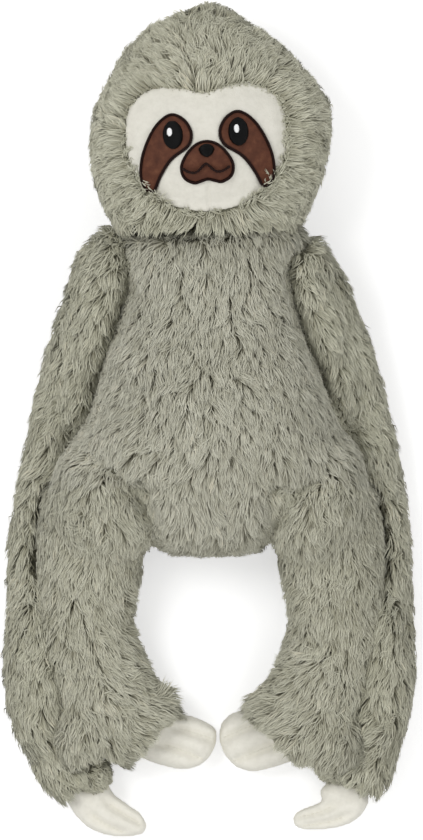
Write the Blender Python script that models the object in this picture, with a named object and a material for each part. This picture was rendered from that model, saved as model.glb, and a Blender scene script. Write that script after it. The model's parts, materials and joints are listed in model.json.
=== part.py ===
# A long-armed plush sloth that lies on its back. +Z points up out of its belly and face, +Y runs
# from its feet to the top of its head, and its own left side is at +X. Units are metres.
# Every soft form is a cloth cover with a mouth at each seam and a filling inside it. Where two
# forms meet, the smaller one is cut by the larger one, and both keep the seam gap.

from math import atan2, cos, exp, pi, radians, sin, sqrt

import bmesh
import bpy
from mathutils import Matrix, Vector
from mathutils.bvhtree import BVHTree

# Sewing
SEAM_GAP = 0.0003  # between two pieces that touch
PILE_WALL = 0.0060  # long-pile cloth, backing and the root of the pile
VELOUR_WALL = 0.0018  # short-pile cloth of the face, the hands and the feet
FLOOR_SINK = 0.0005  # how deep a form is cut flat where it lies
CUT_OVERRUN = 0.3000  # how far a cutter runs past the toy

# Head
HEAD_WIDTH = 0.1370
HEAD_DEPTH = 0.1080
CROWN_Y = 0.2510
NECK_Y = 0.1134
HEAD_LENGTH = 0.1434
HEAD_TILT_DEGREES = 3  # the head leans a little to the toy's right
SNOUT_HEIGHT = 0.0100
SNOUT_RADIUS = 0.0230
NECK_HEIGHT = 0.0480
NECK_MOUTH_RADIUS = 0.0220

# Face
FACE_X = -0.0018
FACE_Y = 0.1626
FACE_WIDTH = 0.0972
FACE_HEIGHT = 0.0770
FACE_RECESS = 0.0030  # the short pile lies this much below the long pile round it
PATCH_THICKNESS = 0.0010
EDGING_THICKNESS = 0.0014
EDGING_WIDTH = 0.0016
EYE_THICKNESS = 0.0009
HIGHLIGHT_THICKNESS = 0.0006
EYE_PATCH_X = 0.0244
EYE_PATCH_Y = -0.0005
EYE_PATCH_WIDTH = 0.0330
EYE_PATCH_HEIGHT = 0.0470
EYE_X = 0.0197
EYE_Y = 0.0100
EYE_WIDTH = 0.0120
EYE_HEIGHT = 0.0168
HIGHLIGHT_SHIFT_X = -0.0019
HIGHLIGHT_SHIFT_Y = 0.0021
HIGHLIGHT_WIDTH = 0.0030
HIGHLIGHT_HEIGHT = 0.0054
MUZZLE_Y = -0.0072
MUZZLE_WIDTH = 0.0330
MUZZLE_HEIGHT = 0.0264
NOSE_Y = -0.0006
NOSE_WIDTH = 0.0096
NOSE_HEIGHT = 0.0072
MOUTH_Y = -0.0104
MOUTH_WIDTH = 0.0264
MOUTH_HEIGHT = 0.0048
MOUTH_THREAD_RADIUS = 0.0006

# Torso
TORSO_TOP_Y = 0.1176
TORSO_LENGTH = 0.1986
TORSO_WIDTH = 0.1840
TORSO_DEPTH = 0.0980
CROTCH_WIDTH = 0.0660  # the piece of the torso that comes down between the legs
HIP_Y = -0.0354

# Arms
SHOULDER_X = 0.0640
SHOULDER_Y = 0.1026
SHOULDER_HEIGHT = 0.0260  # how much higher than the rest of the arm its root lies
ARM_REACH = 0.3250
ARM_SPREAD = 0.0400
ARM_WIDTH = 0.0345
ARM_DEPTH = 0.0310
ARM_CLEARANCE = 0.0010  # under the arm, which the torso carries
ARM_TAIL = 0.0140  # how far the arm's tube runs past the wrist before it is cut
ARM_PIVOT_X = 0.0680
ARM_PIVOT_Y = 0.1110  # above the whole arm, so that no part of it swings into the torso
SHOULDER_MOUTH_RADIUS = 0.0080

# Hands
HAND_LENGTH = 0.0400
FINGER_LENGTH = 0.0500
FINGER_WIDTH = 0.0125
FINGER_DEPTH = 0.0200
FINGER_SPACING = 0.0076
FINGER_SETBACK = 0.0035
WRIST_MOUTH_RADIUS = 0.0050

# Legs
LEG_X = 0.0650
LEG_REACH = 0.1578
LEG_BOW = 0.0120
LEG_WIDTH = 0.0620
LEG_DEPTH = 0.0560
LEG_LEAD = 0.0090  # how far the leg's tube starts above the hip before it is cut
LEG_TAIL = 0.0180  # how far it runs past the ankle before it is cut
HIP_HEIGHT = 0.0660  # the crease where a lifted leg folds
HIP_MOUTH_RADIUS = 0.0140

# Feet
FOOT_LENGTH = 0.0332
TOE_LENGTH = 0.0580
TOE_WIDTH = 0.0160
TOE_DEPTH = 0.0245
TOE_SPACING = 0.0100
TOE_SETBACK = 0.0040
ANKLE_MOUTH_RADIUS = 0.0070

# Threads in the grooves of the hands and the feet
GROOVE_THREAD_RADIUS = 0.0005

# Outlines, as shares of the sizes that they follow. The face, the muzzle and the nose are
# halves that are mirrored, from the top down. An eye patch runs from its top towards the nose.
FACE_SHARES = ((0, 0.86), (0.24, 0.95), (0.49, 1), (0.74, 0.93), (0.94, 0.70), (1, 0.30), (0.94, -0.22),
               (0.64, -0.70), (0.32, -0.92), (0, -0.98))
EYE_PATCH_SHARES = ((-0.20, 1), (-0.72, 0.86), (-1, 0.50), (-0.86, 0.14), (-0.20, -0.20), (0.22, -0.62),
                    (0.48, -0.98), (0.84, -0.90), (1, -0.50), (0.86, 0.06), (0.40, 0.68))
MUZZLE_SHARES = ((0, 1), (0.40, 0.86), (0.76, 0.44), (1, -0.16), (0.90, -0.72), (0.52, -1), (0.22, -0.93),
                 (0, -0.86))
NOSE_SHARES = ((0, 1), (0.62, 0.94), (1, 0.46), (0.56, -0.52), (0, -1))
MOUTH_SHARES = ((-1, 0.10), (-0.78, -0.72), (-0.46, -1), (-0.18, 0.20), (0, 1), (0.18, 0.20), (0.46, -1),
                (0.78, -0.72), (1, 0.10))

# Stations of the forms: along, width, depth, and how high the middle lies
HEAD_SHARES = ((0, 0, 0, 0.5), (0.065, 0.36, 0.38, 0.5), (0.19, 0.66, 0.68, 0.5), (0.32, 0.83, 0.86, 0.5),
               (0.47, 0.975, 0.97, 0.5), (0.62, 1, 1, 0.5), (0.75, 0.975, 0.98, 0.49),
               (0.87, 0.88, 0.90, 0.47), (1, 0.74, 0.74, 0.44))
TORSO_SHARES = ((0, 0.57, 0.78, 0.47), (0.10, 0.60, 0.84, 0.46), (0.20, 0.61, 0.88, 0.455),
                (0.30, 0.645, 0.92, 0.465), (0.408, 0.715, 0.96, 0.48), (0.568, 0.82, 1, 0.5),
                (0.692, 0.92, 0.98, 0.49), (0.77, 1, 0.94, 0.47), (0.891, 0.98, 0.82, 0.42),
                (0.967, 0.66, 0.60, 0.38), (1, 0, 0, 0.34))

# Limbs: along, outwards, how much of the root's height is left, width and depth
ARM_SHARES = {
    "right": ((0, 0, 1, 0.86, 0.94), (0.10, 0.16, 0.72, 1, 1), (0.20, 0.44, 0.36, 1, 1),
              (0.37, 0.74, 0.06, 1, 1), (0.55, 1, 0, 1, 1), (0.74, 0.98, 0, 1, 1), (0.88, 0.84, 0, 1, 1),
              (0.96, 0.60, 0, 0.94, 0.96), (1, 0.32, 0, 0.84, 0.90)),
    "left": ((0, -0.06, 1, 0.86, 0.94), (0.10, 0.12, 0.72, 1, 1), (0.20, 0.44, 0.36, 1, 1),
             (0.37, 0.80, 0.06, 1, 1), (0.55, 1, 0, 1, 1), (0.74, 1.01, 0, 1, 1), (0.88, 0.91, 0, 1, 1),
             (0.96, 0.76, 0, 0.94, 0.96), (1, 0.60, 0, 0.84, 0.90)),
}
LEG_SHARES = {
    "right": ((0, 0, 1, 1.12), (0.20, 0.46, 1.08, 1.08), (0.38, 0.66, 1, 1), (0.53, 0.94, 0.95, 0.94),
              (0.67, 0.50, 0.98, 0.92), (0.80, -0.30, 0.96, 0.88), (0.90, -1.20, 0.90, 0.82),
              (1, -2.58, 0.80, 0.72)),
    "left": ((0, 0, 1, 1.12), (0.20, 0.50, 1.08, 1.08), (0.38, 0.84, 1, 1), (0.53, 1, 0.94, 0.94),
             (0.67, 0.70, 0.97, 0.92), (0.80, 0.02, 0.96, 0.88), (0.90, -0.92, 0.90, 0.82),
             (1, -2.28, 0.80, 0.72)),
}

# Which way each limb ends and its hand or foot points, as degrees below the outward line
WRIST_DEGREES = {"right": 118, "left": 100}
HAND_DEGREES = {"right": 144, "left": 153}
ANKLE_DEGREES = {"right": 132, "left": 131}
FOOT_DEGREES = {"right": 188, "left": 189}

ROOT_SHARE = 0.6  # how much of the first ring of an arm is left where its root is closed

FINE = (24, 2)  # sides of a ring and rings between two stations
PLAIN = (14, 1)
FINE_LIMB = (14, 2)
PLAIN_LIMB = (8, 1)
FINE_DIGIT = (10, 8)  # sides and rings
PLAIN_DIGIT = (6, 6)
MOUTH_SIDES = 8
FLAT_WITHIN_DEGREES = 0.5  # faces this nearly level with each other are one
RING_ROUND_SHARE = 0.91  # 1 is an ellipse, less is squarer

# Colour, roughness
GREY_FUR = ("grey_long_pile", (0.394, 0.381, 0.305), 0.95)
OFF_WHITE = ("off_white_short_pile", (0.770, 0.745, 0.670), 0.90)
BROWN = ("brown_felt", (0.122, 0.046, 0.028), 0.85)
DARK_BROWN = ("dark_brown_thread", (0.032, 0.010, 0.006), 0.60)
BLACK = ("black_thread", (0.006, 0.006, 0.008), 0.45)
WHITE = ("white_thread", (0.850, 0.850, 0.850), 0.50)
FIBRE = ("white_fibre_filling", (0.800, 0.800, 0.780), 0.95)
GREY_THREAD = ("pale_grey_thread", (0.520, 0.500, 0.440), 0.70)

SIDES = {"right": -1, "left": 1}


# Curves and outlines

def smooth_rows(rows, steps, closed=False):
    count = len(rows)
    spans = count if closed else count - 1
    result = []
    for i in range(spans):
        if closed:
            near = [rows[(i + k) % count] for k in (-1, 0, 1, 2)]
        else:
            near = [rows[min(max(i + k, 0), count - 1)] for k in (-1, 0, 1, 2)]
        for step in range(steps):
            t = step / steps
            result.append(tuple(
                (2 * b + (c - a) * t + (2 * a - 5 * b + 4 * c - d) * t ** 2 + (3 * b - a - 3 * c + d) * t ** 3) / 2
                for a, b, c, d in zip(*near)))
    if not closed:
        result.append(tuple(rows[-1]))
    return result


def mirrored(half):
    return tuple(half) + tuple((-x, y) for x, y in reversed(half[1:-1]))


def outline(shares, width, height, steps=2):
    return [Vector((x * width / 2, y * height / 2)) for x, y in smooth_rows(shares, steps, closed=True)]


def oval(width, height, sides=20):
    turns = [2 * pi * i / sides for i in range(sides)]
    return [Vector((cos(turn) * width / 2, sin(turn) * height / 2)) for turn in turns]


def inset(points, amount):
    area = sum(a.x * b.y - a.y * b.x for a, b in zip(points, points[1:] + points[:1]))
    inward = 1 if area > 0 else -1
    result = []
    for i, point in enumerate(points):
        along = (points[(i + 1) % len(points)] - points[i - 1]).normalized()
        result.append(point + Vector((-along.y, along.x)) * amount * inward)
    return result


# Meshes

def mesh_from(bm):
    bmesh.ops.triangulate(bm, faces=bm.faces)
    bmesh.ops.recalc_face_normals(bm, faces=bm.faces)
    mesh = bpy.data.meshes.new("form")
    bm.to_mesh(mesh)
    bm.free()
    return mesh


def lofted(rings):
    # A ring of one point is a pole, any other end is capped
    bm = bmesh.new()
    loops = []
    for points in rings:
        verts = [bm.verts.new(point) for point in points]
        if len(verts) > 1:
            edges = [bm.edges.new((verts[i - 1], verts[i])) for i in range(len(verts))]
            loops.append((verts, edges))
        else:
            loops.append((verts, []))
    for (verts_a, edges_a), (verts_b, edges_b) in zip(loops, loops[1:]):
        if edges_a and edges_b:
            bmesh.ops.bridge_loops(bm, edges=edges_a + edges_b)
        else:
            pole = verts_a[0] if not edges_a else verts_b[0]
            for edge in edges_a or edges_b:
                bm.faces.new((pole, edge.verts[0], edge.verts[1]))
    for verts, edges in (loops[0], loops[-1]):
        if edges:
            bm.faces.new(verts)
    return mesh_from(bm)


def ring(centre, across, half_width, half_depth, sides):
    points = []
    for i in range(sides):
        turn = 2 * pi * (i + 0.5) / sides
        side = abs(cos(turn)) ** RING_ROUND_SHARE * (1 if cos(turn) > 0 else -1)
        rise = abs(sin(turn)) ** RING_ROUND_SHARE * (1 if sin(turn) > 0 else -1)
        points.append(centre + across * side * half_width + Vector((0, 0, rise * half_depth)))
    return points


def grown(mesh, amount):
    bm = bmesh.new()
    bm.from_mesh(mesh)
    bpy.data.meshes.remove(mesh)
    bm.normal_update()
    moves = [vert.normal * amount * vert.calc_shell_factor() for vert in bm.verts]
    for vert, move in zip(bm.verts, moves):
        vert.co += move
    return mesh_from(bm)


def halved(mesh, point, normal):
    # Keeps what lies against the normal and closes the cut
    bm = bmesh.new()
    bm.from_mesh(mesh)
    bpy.data.meshes.remove(mesh)
    cut = bmesh.ops.bisect_plane(bm, geom=bm.verts[:] + bm.edges[:] + bm.faces[:], plane_co=point,
                                 plane_no=normal, clear_outer=True)
    edges = [item for item in cut["geom_cut"] if isinstance(item, bmesh.types.BMEdge)]
    if edges:
        bmesh.ops.holes_fill(bm, edges=edges, sides=0)
    return mesh_from(bm)


def combined(mesh, tool, operation):
    base = bpy.data.objects.new("base", mesh)
    other = bpy.data.objects.new("tool", tool)
    for item in (base, other):
        bpy.context.scene.collection.objects.link(item)
    cut = base.modifiers.new("cut", "BOOLEAN")
    cut.operation = operation
    cut.solver = "EXACT"
    cut.object = other
    graph = bpy.context.evaluated_depsgraph_get()
    result = bpy.data.meshes.new_from_object(base.evaluated_get(graph))
    for item in (base, other):
        data = item.data
        bpy.data.objects.remove(item)
        bpy.data.meshes.remove(data)
    return result


def less(mesh, *tools):
    for tool in tools:
        mesh = combined(mesh, tool, "DIFFERENCE")
    return mesh


def box(low, high):
    bm = bmesh.new()
    bmesh.ops.create_cube(bm, size=1)
    size = Vector(high) - Vector(low)
    bmesh.ops.scale(bm, vec=size, verts=bm.verts)
    bmesh.ops.translate(bm, vec=Vector(low) + size / 2, verts=bm.verts)
    return mesh_from(bm)


def prism(points, low, high, place):
    bm = bmesh.new()
    face = bm.faces.new([bm.verts.new((point.x, point.y, low)) for point in points])
    raised = bmesh.ops.extrude_face_region(bm, geom=[face])
    verts = [item for item in raised["geom"] if isinstance(item, bmesh.types.BMVert)]
    bmesh.ops.translate(bm, vec=(0, 0, high - low), verts=verts)
    bmesh.ops.transform(bm, matrix=place, verts=bm.verts)
    return mesh_from(bm)


def mouth(centre, direction, radius, length):
    bm = bmesh.new()
    turn = Vector((0, 0, 1)).rotation_difference(direction).to_matrix().to_4x4()
    bmesh.ops.create_cone(bm, cap_ends=True, segments=MOUTH_SIDES, radius1=radius, radius2=radius, depth=length,
                          matrix=Matrix.Translation(centre) @ turn)
    return mesh_from(bm)


def thread(points, radius):
    curve = bpy.data.curves.new("thread", "CURVE")
    curve.dimensions = "3D"
    curve.bevel_depth = radius
    curve.bevel_resolution = 1
    curve.use_fill_caps = True
    line = curve.splines.new("POLY")
    line.points.add(len(points) - 1)
    for spot, point in zip(line.points, points):
        spot.co = (*point, 1)
    item = bpy.data.objects.new("thread", curve)
    bpy.context.scene.collection.objects.link(item)
    graph = bpy.context.evaluated_depsgraph_get()
    mesh = bpy.data.meshes.new_from_object(item.evaluated_get(graph))
    bpy.data.objects.remove(item)
    bpy.data.curves.remove(curve)
    bm = bmesh.new()
    bm.from_mesh(mesh)
    bpy.data.meshes.remove(mesh)
    bmesh.ops.remove_doubles(bm, verts=bm.verts, dist=SEAM_GAP / 10)
    return mesh_from(bm)


# The head, the torso and their places

def body_rings(shares, detail, top, length, width, depth, snout=False):
    sides, steps = detail
    rows = [(along, wide ** 2, deep ** 2, middle) for along, wide, deep, middle in shares]
    rings = []
    for along, wide, deep, middle in smooth_rows(rows, steps):
        centre = Vector((0, top - along * length, middle * depth - FLOOR_SINK))
        half_width = sqrt(max(wide, 0)) * width / 2
        half_depth = sqrt(max(deep, 0)) * depth / 2
        if min(half_width, half_depth) < SEAM_GAP:
            rings.append([centre])
        else:
            rings.append(ring(centre, Vector((1, 0, 0)), half_width, half_depth, sides))
    if snout:
        middle = Vector((0, FACE_Y + MUZZLE_Y))
        for points in rings:
            for point in points:
                if point.z > depth / 2:
                    away = (point.to_2d() - middle).length / SNOUT_RADIUS
                    point.z += SNOUT_HEIGHT * exp(-away ** 2)
    return rings


def head_place():
    pivot = Vector((0, NECK_Y, 0))
    tilt = Matrix.Rotation(radians(HEAD_TILT_DEGREES), 4, "Z")
    return Matrix.Translation(pivot) @ tilt @ Matrix.Translation(-pivot)


def face_place():
    return (Matrix.Translation((FACE_X, FACE_Y, 0)) @ Matrix.Rotation(radians(HEAD_TILT_DEGREES), 4, "Z"))


def head_shape(amount, detail=FINE):
    mesh = lofted(body_rings(HEAD_SHARES, detail, CROWN_Y, HEAD_LENGTH, HEAD_WIDTH, HEAD_DEPTH, snout=True))
    mesh.transform(head_place())
    mesh = grown(mesh, amount)
    return halved(mesh, (0, NECK_Y + SEAM_GAP - amount, 0), (0, -1, 0))


def torso_shape(amount, detail=FINE, notched=True):
    mesh = lofted(body_rings(TORSO_SHARES, detail, TORSO_TOP_Y, TORSO_LENGTH, TORSO_WIDTH, TORSO_DEPTH))
    mesh = grown(mesh, amount)
    mesh = halved(mesh, (0, NECK_Y + amount, 0), (0, 1, 0))
    if not notched:
        return mesh
    inner = CROTCH_WIDTH / 2 + amount
    notches = [box((inner, -CUT_OVERRUN, -CUT_OVERRUN), (CUT_OVERRUN, HIP_Y - amount, CUT_OVERRUN)),
               box((-CUT_OVERRUN, -CUT_OVERRUN, -CUT_OVERRUN), (-inner, HIP_Y - amount, CUT_OVERRUN))]
    return less(mesh, *notches)


def on_floor(mesh):
    return halved(mesh, (0, 0, 0), (0, 0, -1))


# The limbs

def heading(side, turn_degrees):
    # 0 points straight outwards, 90 towards the feet and 180 inwards
    turn = radians(turn_degrees)
    return Vector((SIDES[side] * cos(turn), -sin(turn), 0))


def limb_rings(stations, sides):
    rings = []
    for i, (centre, half_width, half_depth) in enumerate(stations):
        before = stations[max(i - 1, 0)][0]
        after = stations[min(i + 1, len(stations) - 1)][0]
        along = (after - before).to_2d().normalized()
        across = Vector((-along.y, along.x, 0))
        rings.append(ring(centre, across, half_width, half_depth, sides))
    return rings


def wrist_centre(side):
    outwards = ARM_SHARES[side][-1][1]
    return Vector((SIDES[side] * (SHOULDER_X + outwards * ARM_SPREAD), SHOULDER_Y - ARM_REACH, ARM_DEPTH / 2))


def arm_shape(side, amount, detail=FINE_LIMB):
    sides, steps = detail
    stations = []
    for along, out, lift, wide, deep in smooth_rows(ARM_SHARES[side], steps):
        half_depth = deep * ARM_DEPTH / 2
        centre = Vector((SIDES[side] * (SHOULDER_X + out * ARM_SPREAD), SHOULDER_Y - along * ARM_REACH,
                         ARM_CLEARANCE + half_depth + lift * SHOULDER_HEIGHT))
        stations.append((centre, wide * ARM_WIDTH / 2, half_depth))
    last, half_width, half_depth = stations[-1]
    stations.append((last + heading(side, WRIST_DEGREES[side]) * ARM_TAIL, half_width, half_depth))
    rings = limb_rings(stations, sides)
    # The root is rounded off above the first ring
    first, half_width, half_depth = stations[0]
    above = first + Vector((0, half_width / 2, 0))
    rings.insert(0, ring(above, Vector((1, 0, 0)), half_width * ROOT_SHARE, half_depth * ROOT_SHARE, sides))
    mesh = grown(lofted(rings), amount)
    return halved(mesh, wrist_centre(side) - heading(side, WRIST_DEGREES[side]) * (SEAM_GAP - amount),
                  heading(side, WRIST_DEGREES[side]))


def ankle_centre(side):
    bow = LEG_SHARES[side][-1][1]
    return Vector((SIDES[side] * (LEG_X + bow * LEG_BOW), HIP_Y - LEG_REACH, 0))


def leg_shape(side, amount, detail=FINE_LIMB):
    sides, steps = detail
    stations = []
    for along, bow, wide, deep in smooth_rows(LEG_SHARES[side], steps):
        half_depth = deep * LEG_DEPTH / 2
        centre = Vector((SIDES[side] * (LEG_X + bow * LEG_BOW), HIP_Y - along * LEG_REACH,
                         half_depth - FLOOR_SINK))
        stations.append((centre, wide * LEG_WIDTH / 2, half_depth))
    first, half_width, half_depth = stations[0]
    stations.insert(0, (first + Vector((0, LEG_LEAD, 0)), half_width, half_depth))
    last, half_width, half_depth = stations[-1]
    stations.append((last + heading(side, ANKLE_DEGREES[side]) * LEG_TAIL, half_width, half_depth))
    mesh = grown(lofted(limb_rings(stations, sides)), amount)
    mesh = halved(mesh, (0, HIP_Y - SEAM_GAP + amount, 0), (0, 1, 0))
    return halved(mesh, ankle_centre(side) - heading(side, ANKLE_DEGREES[side]) * (SEAM_GAP - amount),
                  heading(side, ANKLE_DEGREES[side]))


# A hand or a foot: three long sewn digits side by side, cut off at its seam

def digits(side, seam, seam_degrees, point_degrees, reach, length, width, depth, spacing, setback, amount, detail):
    ahead = heading(side, point_degrees)
    across = Vector((-ahead.y, ahead.x, 0))
    segments, rings = detail
    mesh = None
    for place in (-1, 0, 1):
        half = Vector((length / 2 + amount, width / 2 + amount, depth / 2 + amount))
        tip = seam + ahead * (reach - abs(place) * setback) + across * place * spacing
        centre = tip - ahead * length / 2
        centre.z = depth / 2 - FLOOR_SINK
        bm = bmesh.new()
        bmesh.ops.create_uvsphere(bm, u_segments=segments, v_segments=rings, radius=1)
        bmesh.ops.rotate(bm, cent=(0, 0, 0), matrix=Matrix.Rotation(pi / 2, 3, "Y"), verts=bm.verts)
        bmesh.ops.scale(bm, vec=half, verts=bm.verts)
        bmesh.ops.rotate(bm, cent=(0, 0, 0), matrix=Matrix.Rotation(atan2(ahead.y, ahead.x), 3, "Z"),
                         verts=bm.verts)
        bmesh.ops.translate(bm, vec=centre, verts=bm.verts)
        digit = mesh_from(bm)
        mesh = digit if mesh is None else combined(mesh, digit, "UNION")
    return halved(mesh, seam - heading(side, seam_degrees) * amount, -heading(side, seam_degrees))


def hand_shape(side, amount, detail=FINE_DIGIT):
    return digits(side, wrist_centre(side), WRIST_DEGREES[side], HAND_DEGREES[side], HAND_LENGTH, FINGER_LENGTH,
                  FINGER_WIDTH, FINGER_DEPTH, FINGER_SPACING, FINGER_SETBACK, amount, detail)


def foot_shape(side, amount, detail=FINE_DIGIT):
    return digits(side, ankle_centre(side), ANKLE_DEGREES[side], FOOT_DEGREES[side], FOOT_LENGTH, TOE_LENGTH,
                  TOE_WIDTH, TOE_DEPTH, TOE_SPACING, TOE_SETBACK, amount, detail)


def groove_threads(side, seam, seam_degrees, point_degrees, reach, length, width, depth, spacing, setback):
    ahead = heading(side, point_degrees)
    across = Vector((-ahead.y, ahead.x, 0))
    away = heading(side, seam_degrees)
    threads = []
    for place in (-0.5, 0.5):
        points = []
        for i in range(25):
            share = i / 24
            spot = seam + ahead * reach * share + across * place * spacing
            if (spot - seam).dot(away) < 4 * GROOVE_THREAD_RADIUS:
                continue
            heights = []
            for back in (0, setback):
                middle = reach - back - length / 2
                left = 1 - ((reach * share - middle) / (length / 2)) ** 2 - (spacing / width) ** 2
                heights.append(sqrt(max(left, 0)) * depth / 2)
            if max(heights) < depth / 6:
                continue
            # Twice its radius above the bottom, the thread is clear of the groove's sloping walls
            spot.z = depth / 2 - FLOOR_SINK + max(heights) + 2 * GROOVE_THREAD_RADIUS + SEAM_GAP
            points.append(spot)
        threads.append(thread(points[::2], GROOVE_THREAD_RADIUS))
    return threads


# Pieces and where they hang

def material(spec):
    name, colour, roughness = spec
    finish = bpy.data.materials.get(name)
    if finish is None:
        finish = bpy.data.materials.new(name)
        finish.use_nodes = True
        shader = finish.node_tree.nodes["Principled BSDF"]
        shader.inputs["Base Color"].default_value = (*colour, 1)
        shader.inputs["Roughness"].default_value = roughness
        shader.inputs["Metallic"].default_value = 0
        finish.diffuse_color = (*colour, 1)
    return finish


def pivot(name, place, parent=None):
    empty = bpy.data.objects.new(name, None)
    bpy.context.scene.collection.objects.link(empty)
    empty.empty_display_size = SHOULDER_MOUTH_RADIUS
    empty.location = place
    if parent:
        empty.parent = parent
        empty.location = Vector(place) - parent.matrix_world.translation
    bpy.context.view_layer.update()
    return empty


def piece(name, mesh, finish, parent):
    bm = bmesh.new()
    bm.from_mesh(mesh)
    bpy.data.meshes.remove(mesh)
    bmesh.ops.dissolve_limit(bm, angle_limit=radians(FLAT_WITHIN_DEGREES), verts=bm.verts, edges=bm.edges)
    bmesh.ops.triangulate(bm, faces=bm.faces)
    shape = bpy.data.meshes.new(name)
    bm.to_mesh(shape)
    bm.free()
    shape.transform(Matrix.Translation(-parent.matrix_world.translation))
    shape.materials.clear()
    shape.materials.append(material(finish))
    shape.shade_smooth()
    shape.set_sharp_from_angle(angle=radians(40))
    item = bpy.data.objects.new(name, shape)
    item.parent = parent
    bpy.context.scene.collection.objects.link(item)
    return item


def neck_mouth():
    return mouth(Vector((0, NECK_Y, NECK_HEIGHT)), Vector((0, 1, 0)), NECK_MOUTH_RADIUS, 4 * PILE_WALL)


def hip_mouth(side):
    centre = Vector((SIDES[side] * LEG_X, HIP_Y, LEG_DEPTH / 2))
    return mouth(centre, Vector((0, 1, 0)), HIP_MOUTH_RADIUS, 4 * PILE_WALL)


def shoulder_mouth(side):
    root = ARM_SHARES[side][1]
    outer = SIDES[side] * (SHOULDER_X + root[1] * ARM_SPREAD)
    height = ARM_CLEARANCE + ARM_DEPTH / 2 + root[2] * SHOULDER_HEIGHT
    centre = Vector((outer - SIDES[side] * ARM_WIDTH / 2, SHOULDER_Y - root[0] * ARM_REACH, height))
    return mouth(centre, Vector((1, 0, 0)), SHOULDER_MOUTH_RADIUS, ARM_WIDTH)


def wrist_mouth(side):
    centre = wrist_centre(side)
    centre.z = FINGER_DEPTH / 2
    return mouth(centre, heading(side, WRIST_DEGREES[side]), WRIST_MOUTH_RADIUS, 4 * PILE_WALL)


def ankle_mouth(side):
    centre = ankle_centre(side)
    centre.z = TOE_DEPTH / 2
    return mouth(centre, heading(side, ANKLE_DEGREES[side]), ANKLE_MOUTH_RADIUS, 4 * PILE_WALL)


def build_torso(root):
    cover = less(on_floor(torso_shape(0)), torso_shape(-PILE_WALL, PLAIN), neck_mouth(),
                 *[opening(side) for side in SIDES for opening in (hip_mouth, shoulder_mouth)])
    piece("torso_cover", cover, GREY_FUR, root)
    piece("torso_filling", torso_shape(-PILE_WALL - SEAM_GAP, PLAIN), FIBRE, root)


# The face: every layer is an outline cut out of two offsets of the head's own surface

def face_layer(points, shift, low, high, hole=None, trim=None):
    place = face_place() @ Matrix.Translation((*shift, 0))
    inner, outer = HEAD_DEPTH / 2, 2 * HEAD_DEPTH
    layer = combined(prism(points, inner, outer, place), head_shape(high), "INTERSECT")
    layer = less(layer, head_shape(low))
    if hole:
        layer = less(layer, prism(hole, inner / 2, outer, place))
    if trim:
        layer = combined(layer, prism(trim, inner / 2, 2 * outer, face_place()), "INTERSECT")
    return layer


def build_face(root):
    face = outline(mirrored(FACE_SHARES), FACE_WIDTH, FACE_HEIGHT, 3)
    panel_top = -FACE_RECESS
    piece("face_panel", face_layer(inset(face, SEAM_GAP), (0, 0), panel_top - VELOUR_WALL, panel_top),
          OFF_WHITE, root)

    patch_low = panel_top + SEAM_GAP
    patch_top = patch_low + PATCH_THICKNESS
    edging_top = patch_low + EDGING_THICKNESS
    eye_low = patch_top + SEAM_GAP
    eye_top = eye_low + EYE_THICKNESS
    highlight_low = eye_top + SEAM_GAP
    for side, sign in SIDES.items():
        shares = [(x * sign, y) for x, y in EYE_PATCH_SHARES]
        patch = outline(shares, EYE_PATCH_WIDTH, EYE_PATCH_HEIGHT)
        shift = (sign * EYE_PATCH_X, EYE_PATCH_Y)
        field = inset(patch, EDGING_WIDTH + SEAM_GAP)
        rim = inset(face, 2 * SEAM_GAP)  # the patch runs out under the long pile at the face's edge
        piece("eye_patch_" + side, face_layer(field, shift, patch_low, patch_top, trim=rim), BROWN, root)
        piece("eye_patch_edging_" + side,
              face_layer(patch, shift, patch_low, edging_top, hole=inset(patch, EDGING_WIDTH), trim=rim),
              DARK_BROWN, root)
        eye_shift = (sign * EYE_X, EYE_Y)
        piece("eye_" + side, face_layer(oval(EYE_WIDTH, EYE_HEIGHT), eye_shift, eye_low, eye_top), BLACK, root)
        light_shift = (eye_shift[0] + HIGHLIGHT_SHIFT_X, eye_shift[1] + HIGHLIGHT_SHIFT_Y)
        piece("eye_highlight_" + side,
              face_layer(oval(HIGHLIGHT_WIDTH, HIGHLIGHT_HEIGHT, 12), light_shift, highlight_low,
                         highlight_low + HIGHLIGHT_THICKNESS), WHITE, root)

    muzzle = outline(mirrored(MUZZLE_SHARES), MUZZLE_WIDTH, MUZZLE_HEIGHT)
    shift = (0, MUZZLE_Y)
    piece("muzzle_patch", face_layer(inset(muzzle, EDGING_WIDTH + SEAM_GAP), shift, patch_low, patch_top), BROWN,
          root)
    piece("muzzle_edging", face_layer(muzzle, shift, patch_low, edging_top, hole=inset(muzzle, EDGING_WIDTH)),
          DARK_BROWN, root)
    nose = outline(mirrored(NOSE_SHARES), NOSE_WIDTH, NOSE_HEIGHT)
    piece("nose", face_layer(nose, (0, NOSE_Y), eye_low, eye_top), BLACK, root)

    bm = bmesh.new()
    bm.from_mesh(head_shape(patch_top + SEAM_GAP + MOUTH_THREAD_RADIUS))
    surface = BVHTree.FromBMesh(bm)
    bm.free()
    line = []
    for x, y in smooth_rows(MOUTH_SHARES, 3):
        above = face_place() @ Vector((x * MOUTH_WIDTH / 2, MOUTH_Y + y * MOUTH_HEIGHT / 2, 2 * HEAD_DEPTH))
        line.append(surface.ray_cast(above, Vector((0, 0, -1)))[0])
    piece("mouth_stitching", thread(line, MOUTH_THREAD_RADIUS), DARK_BROWN, root)


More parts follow.
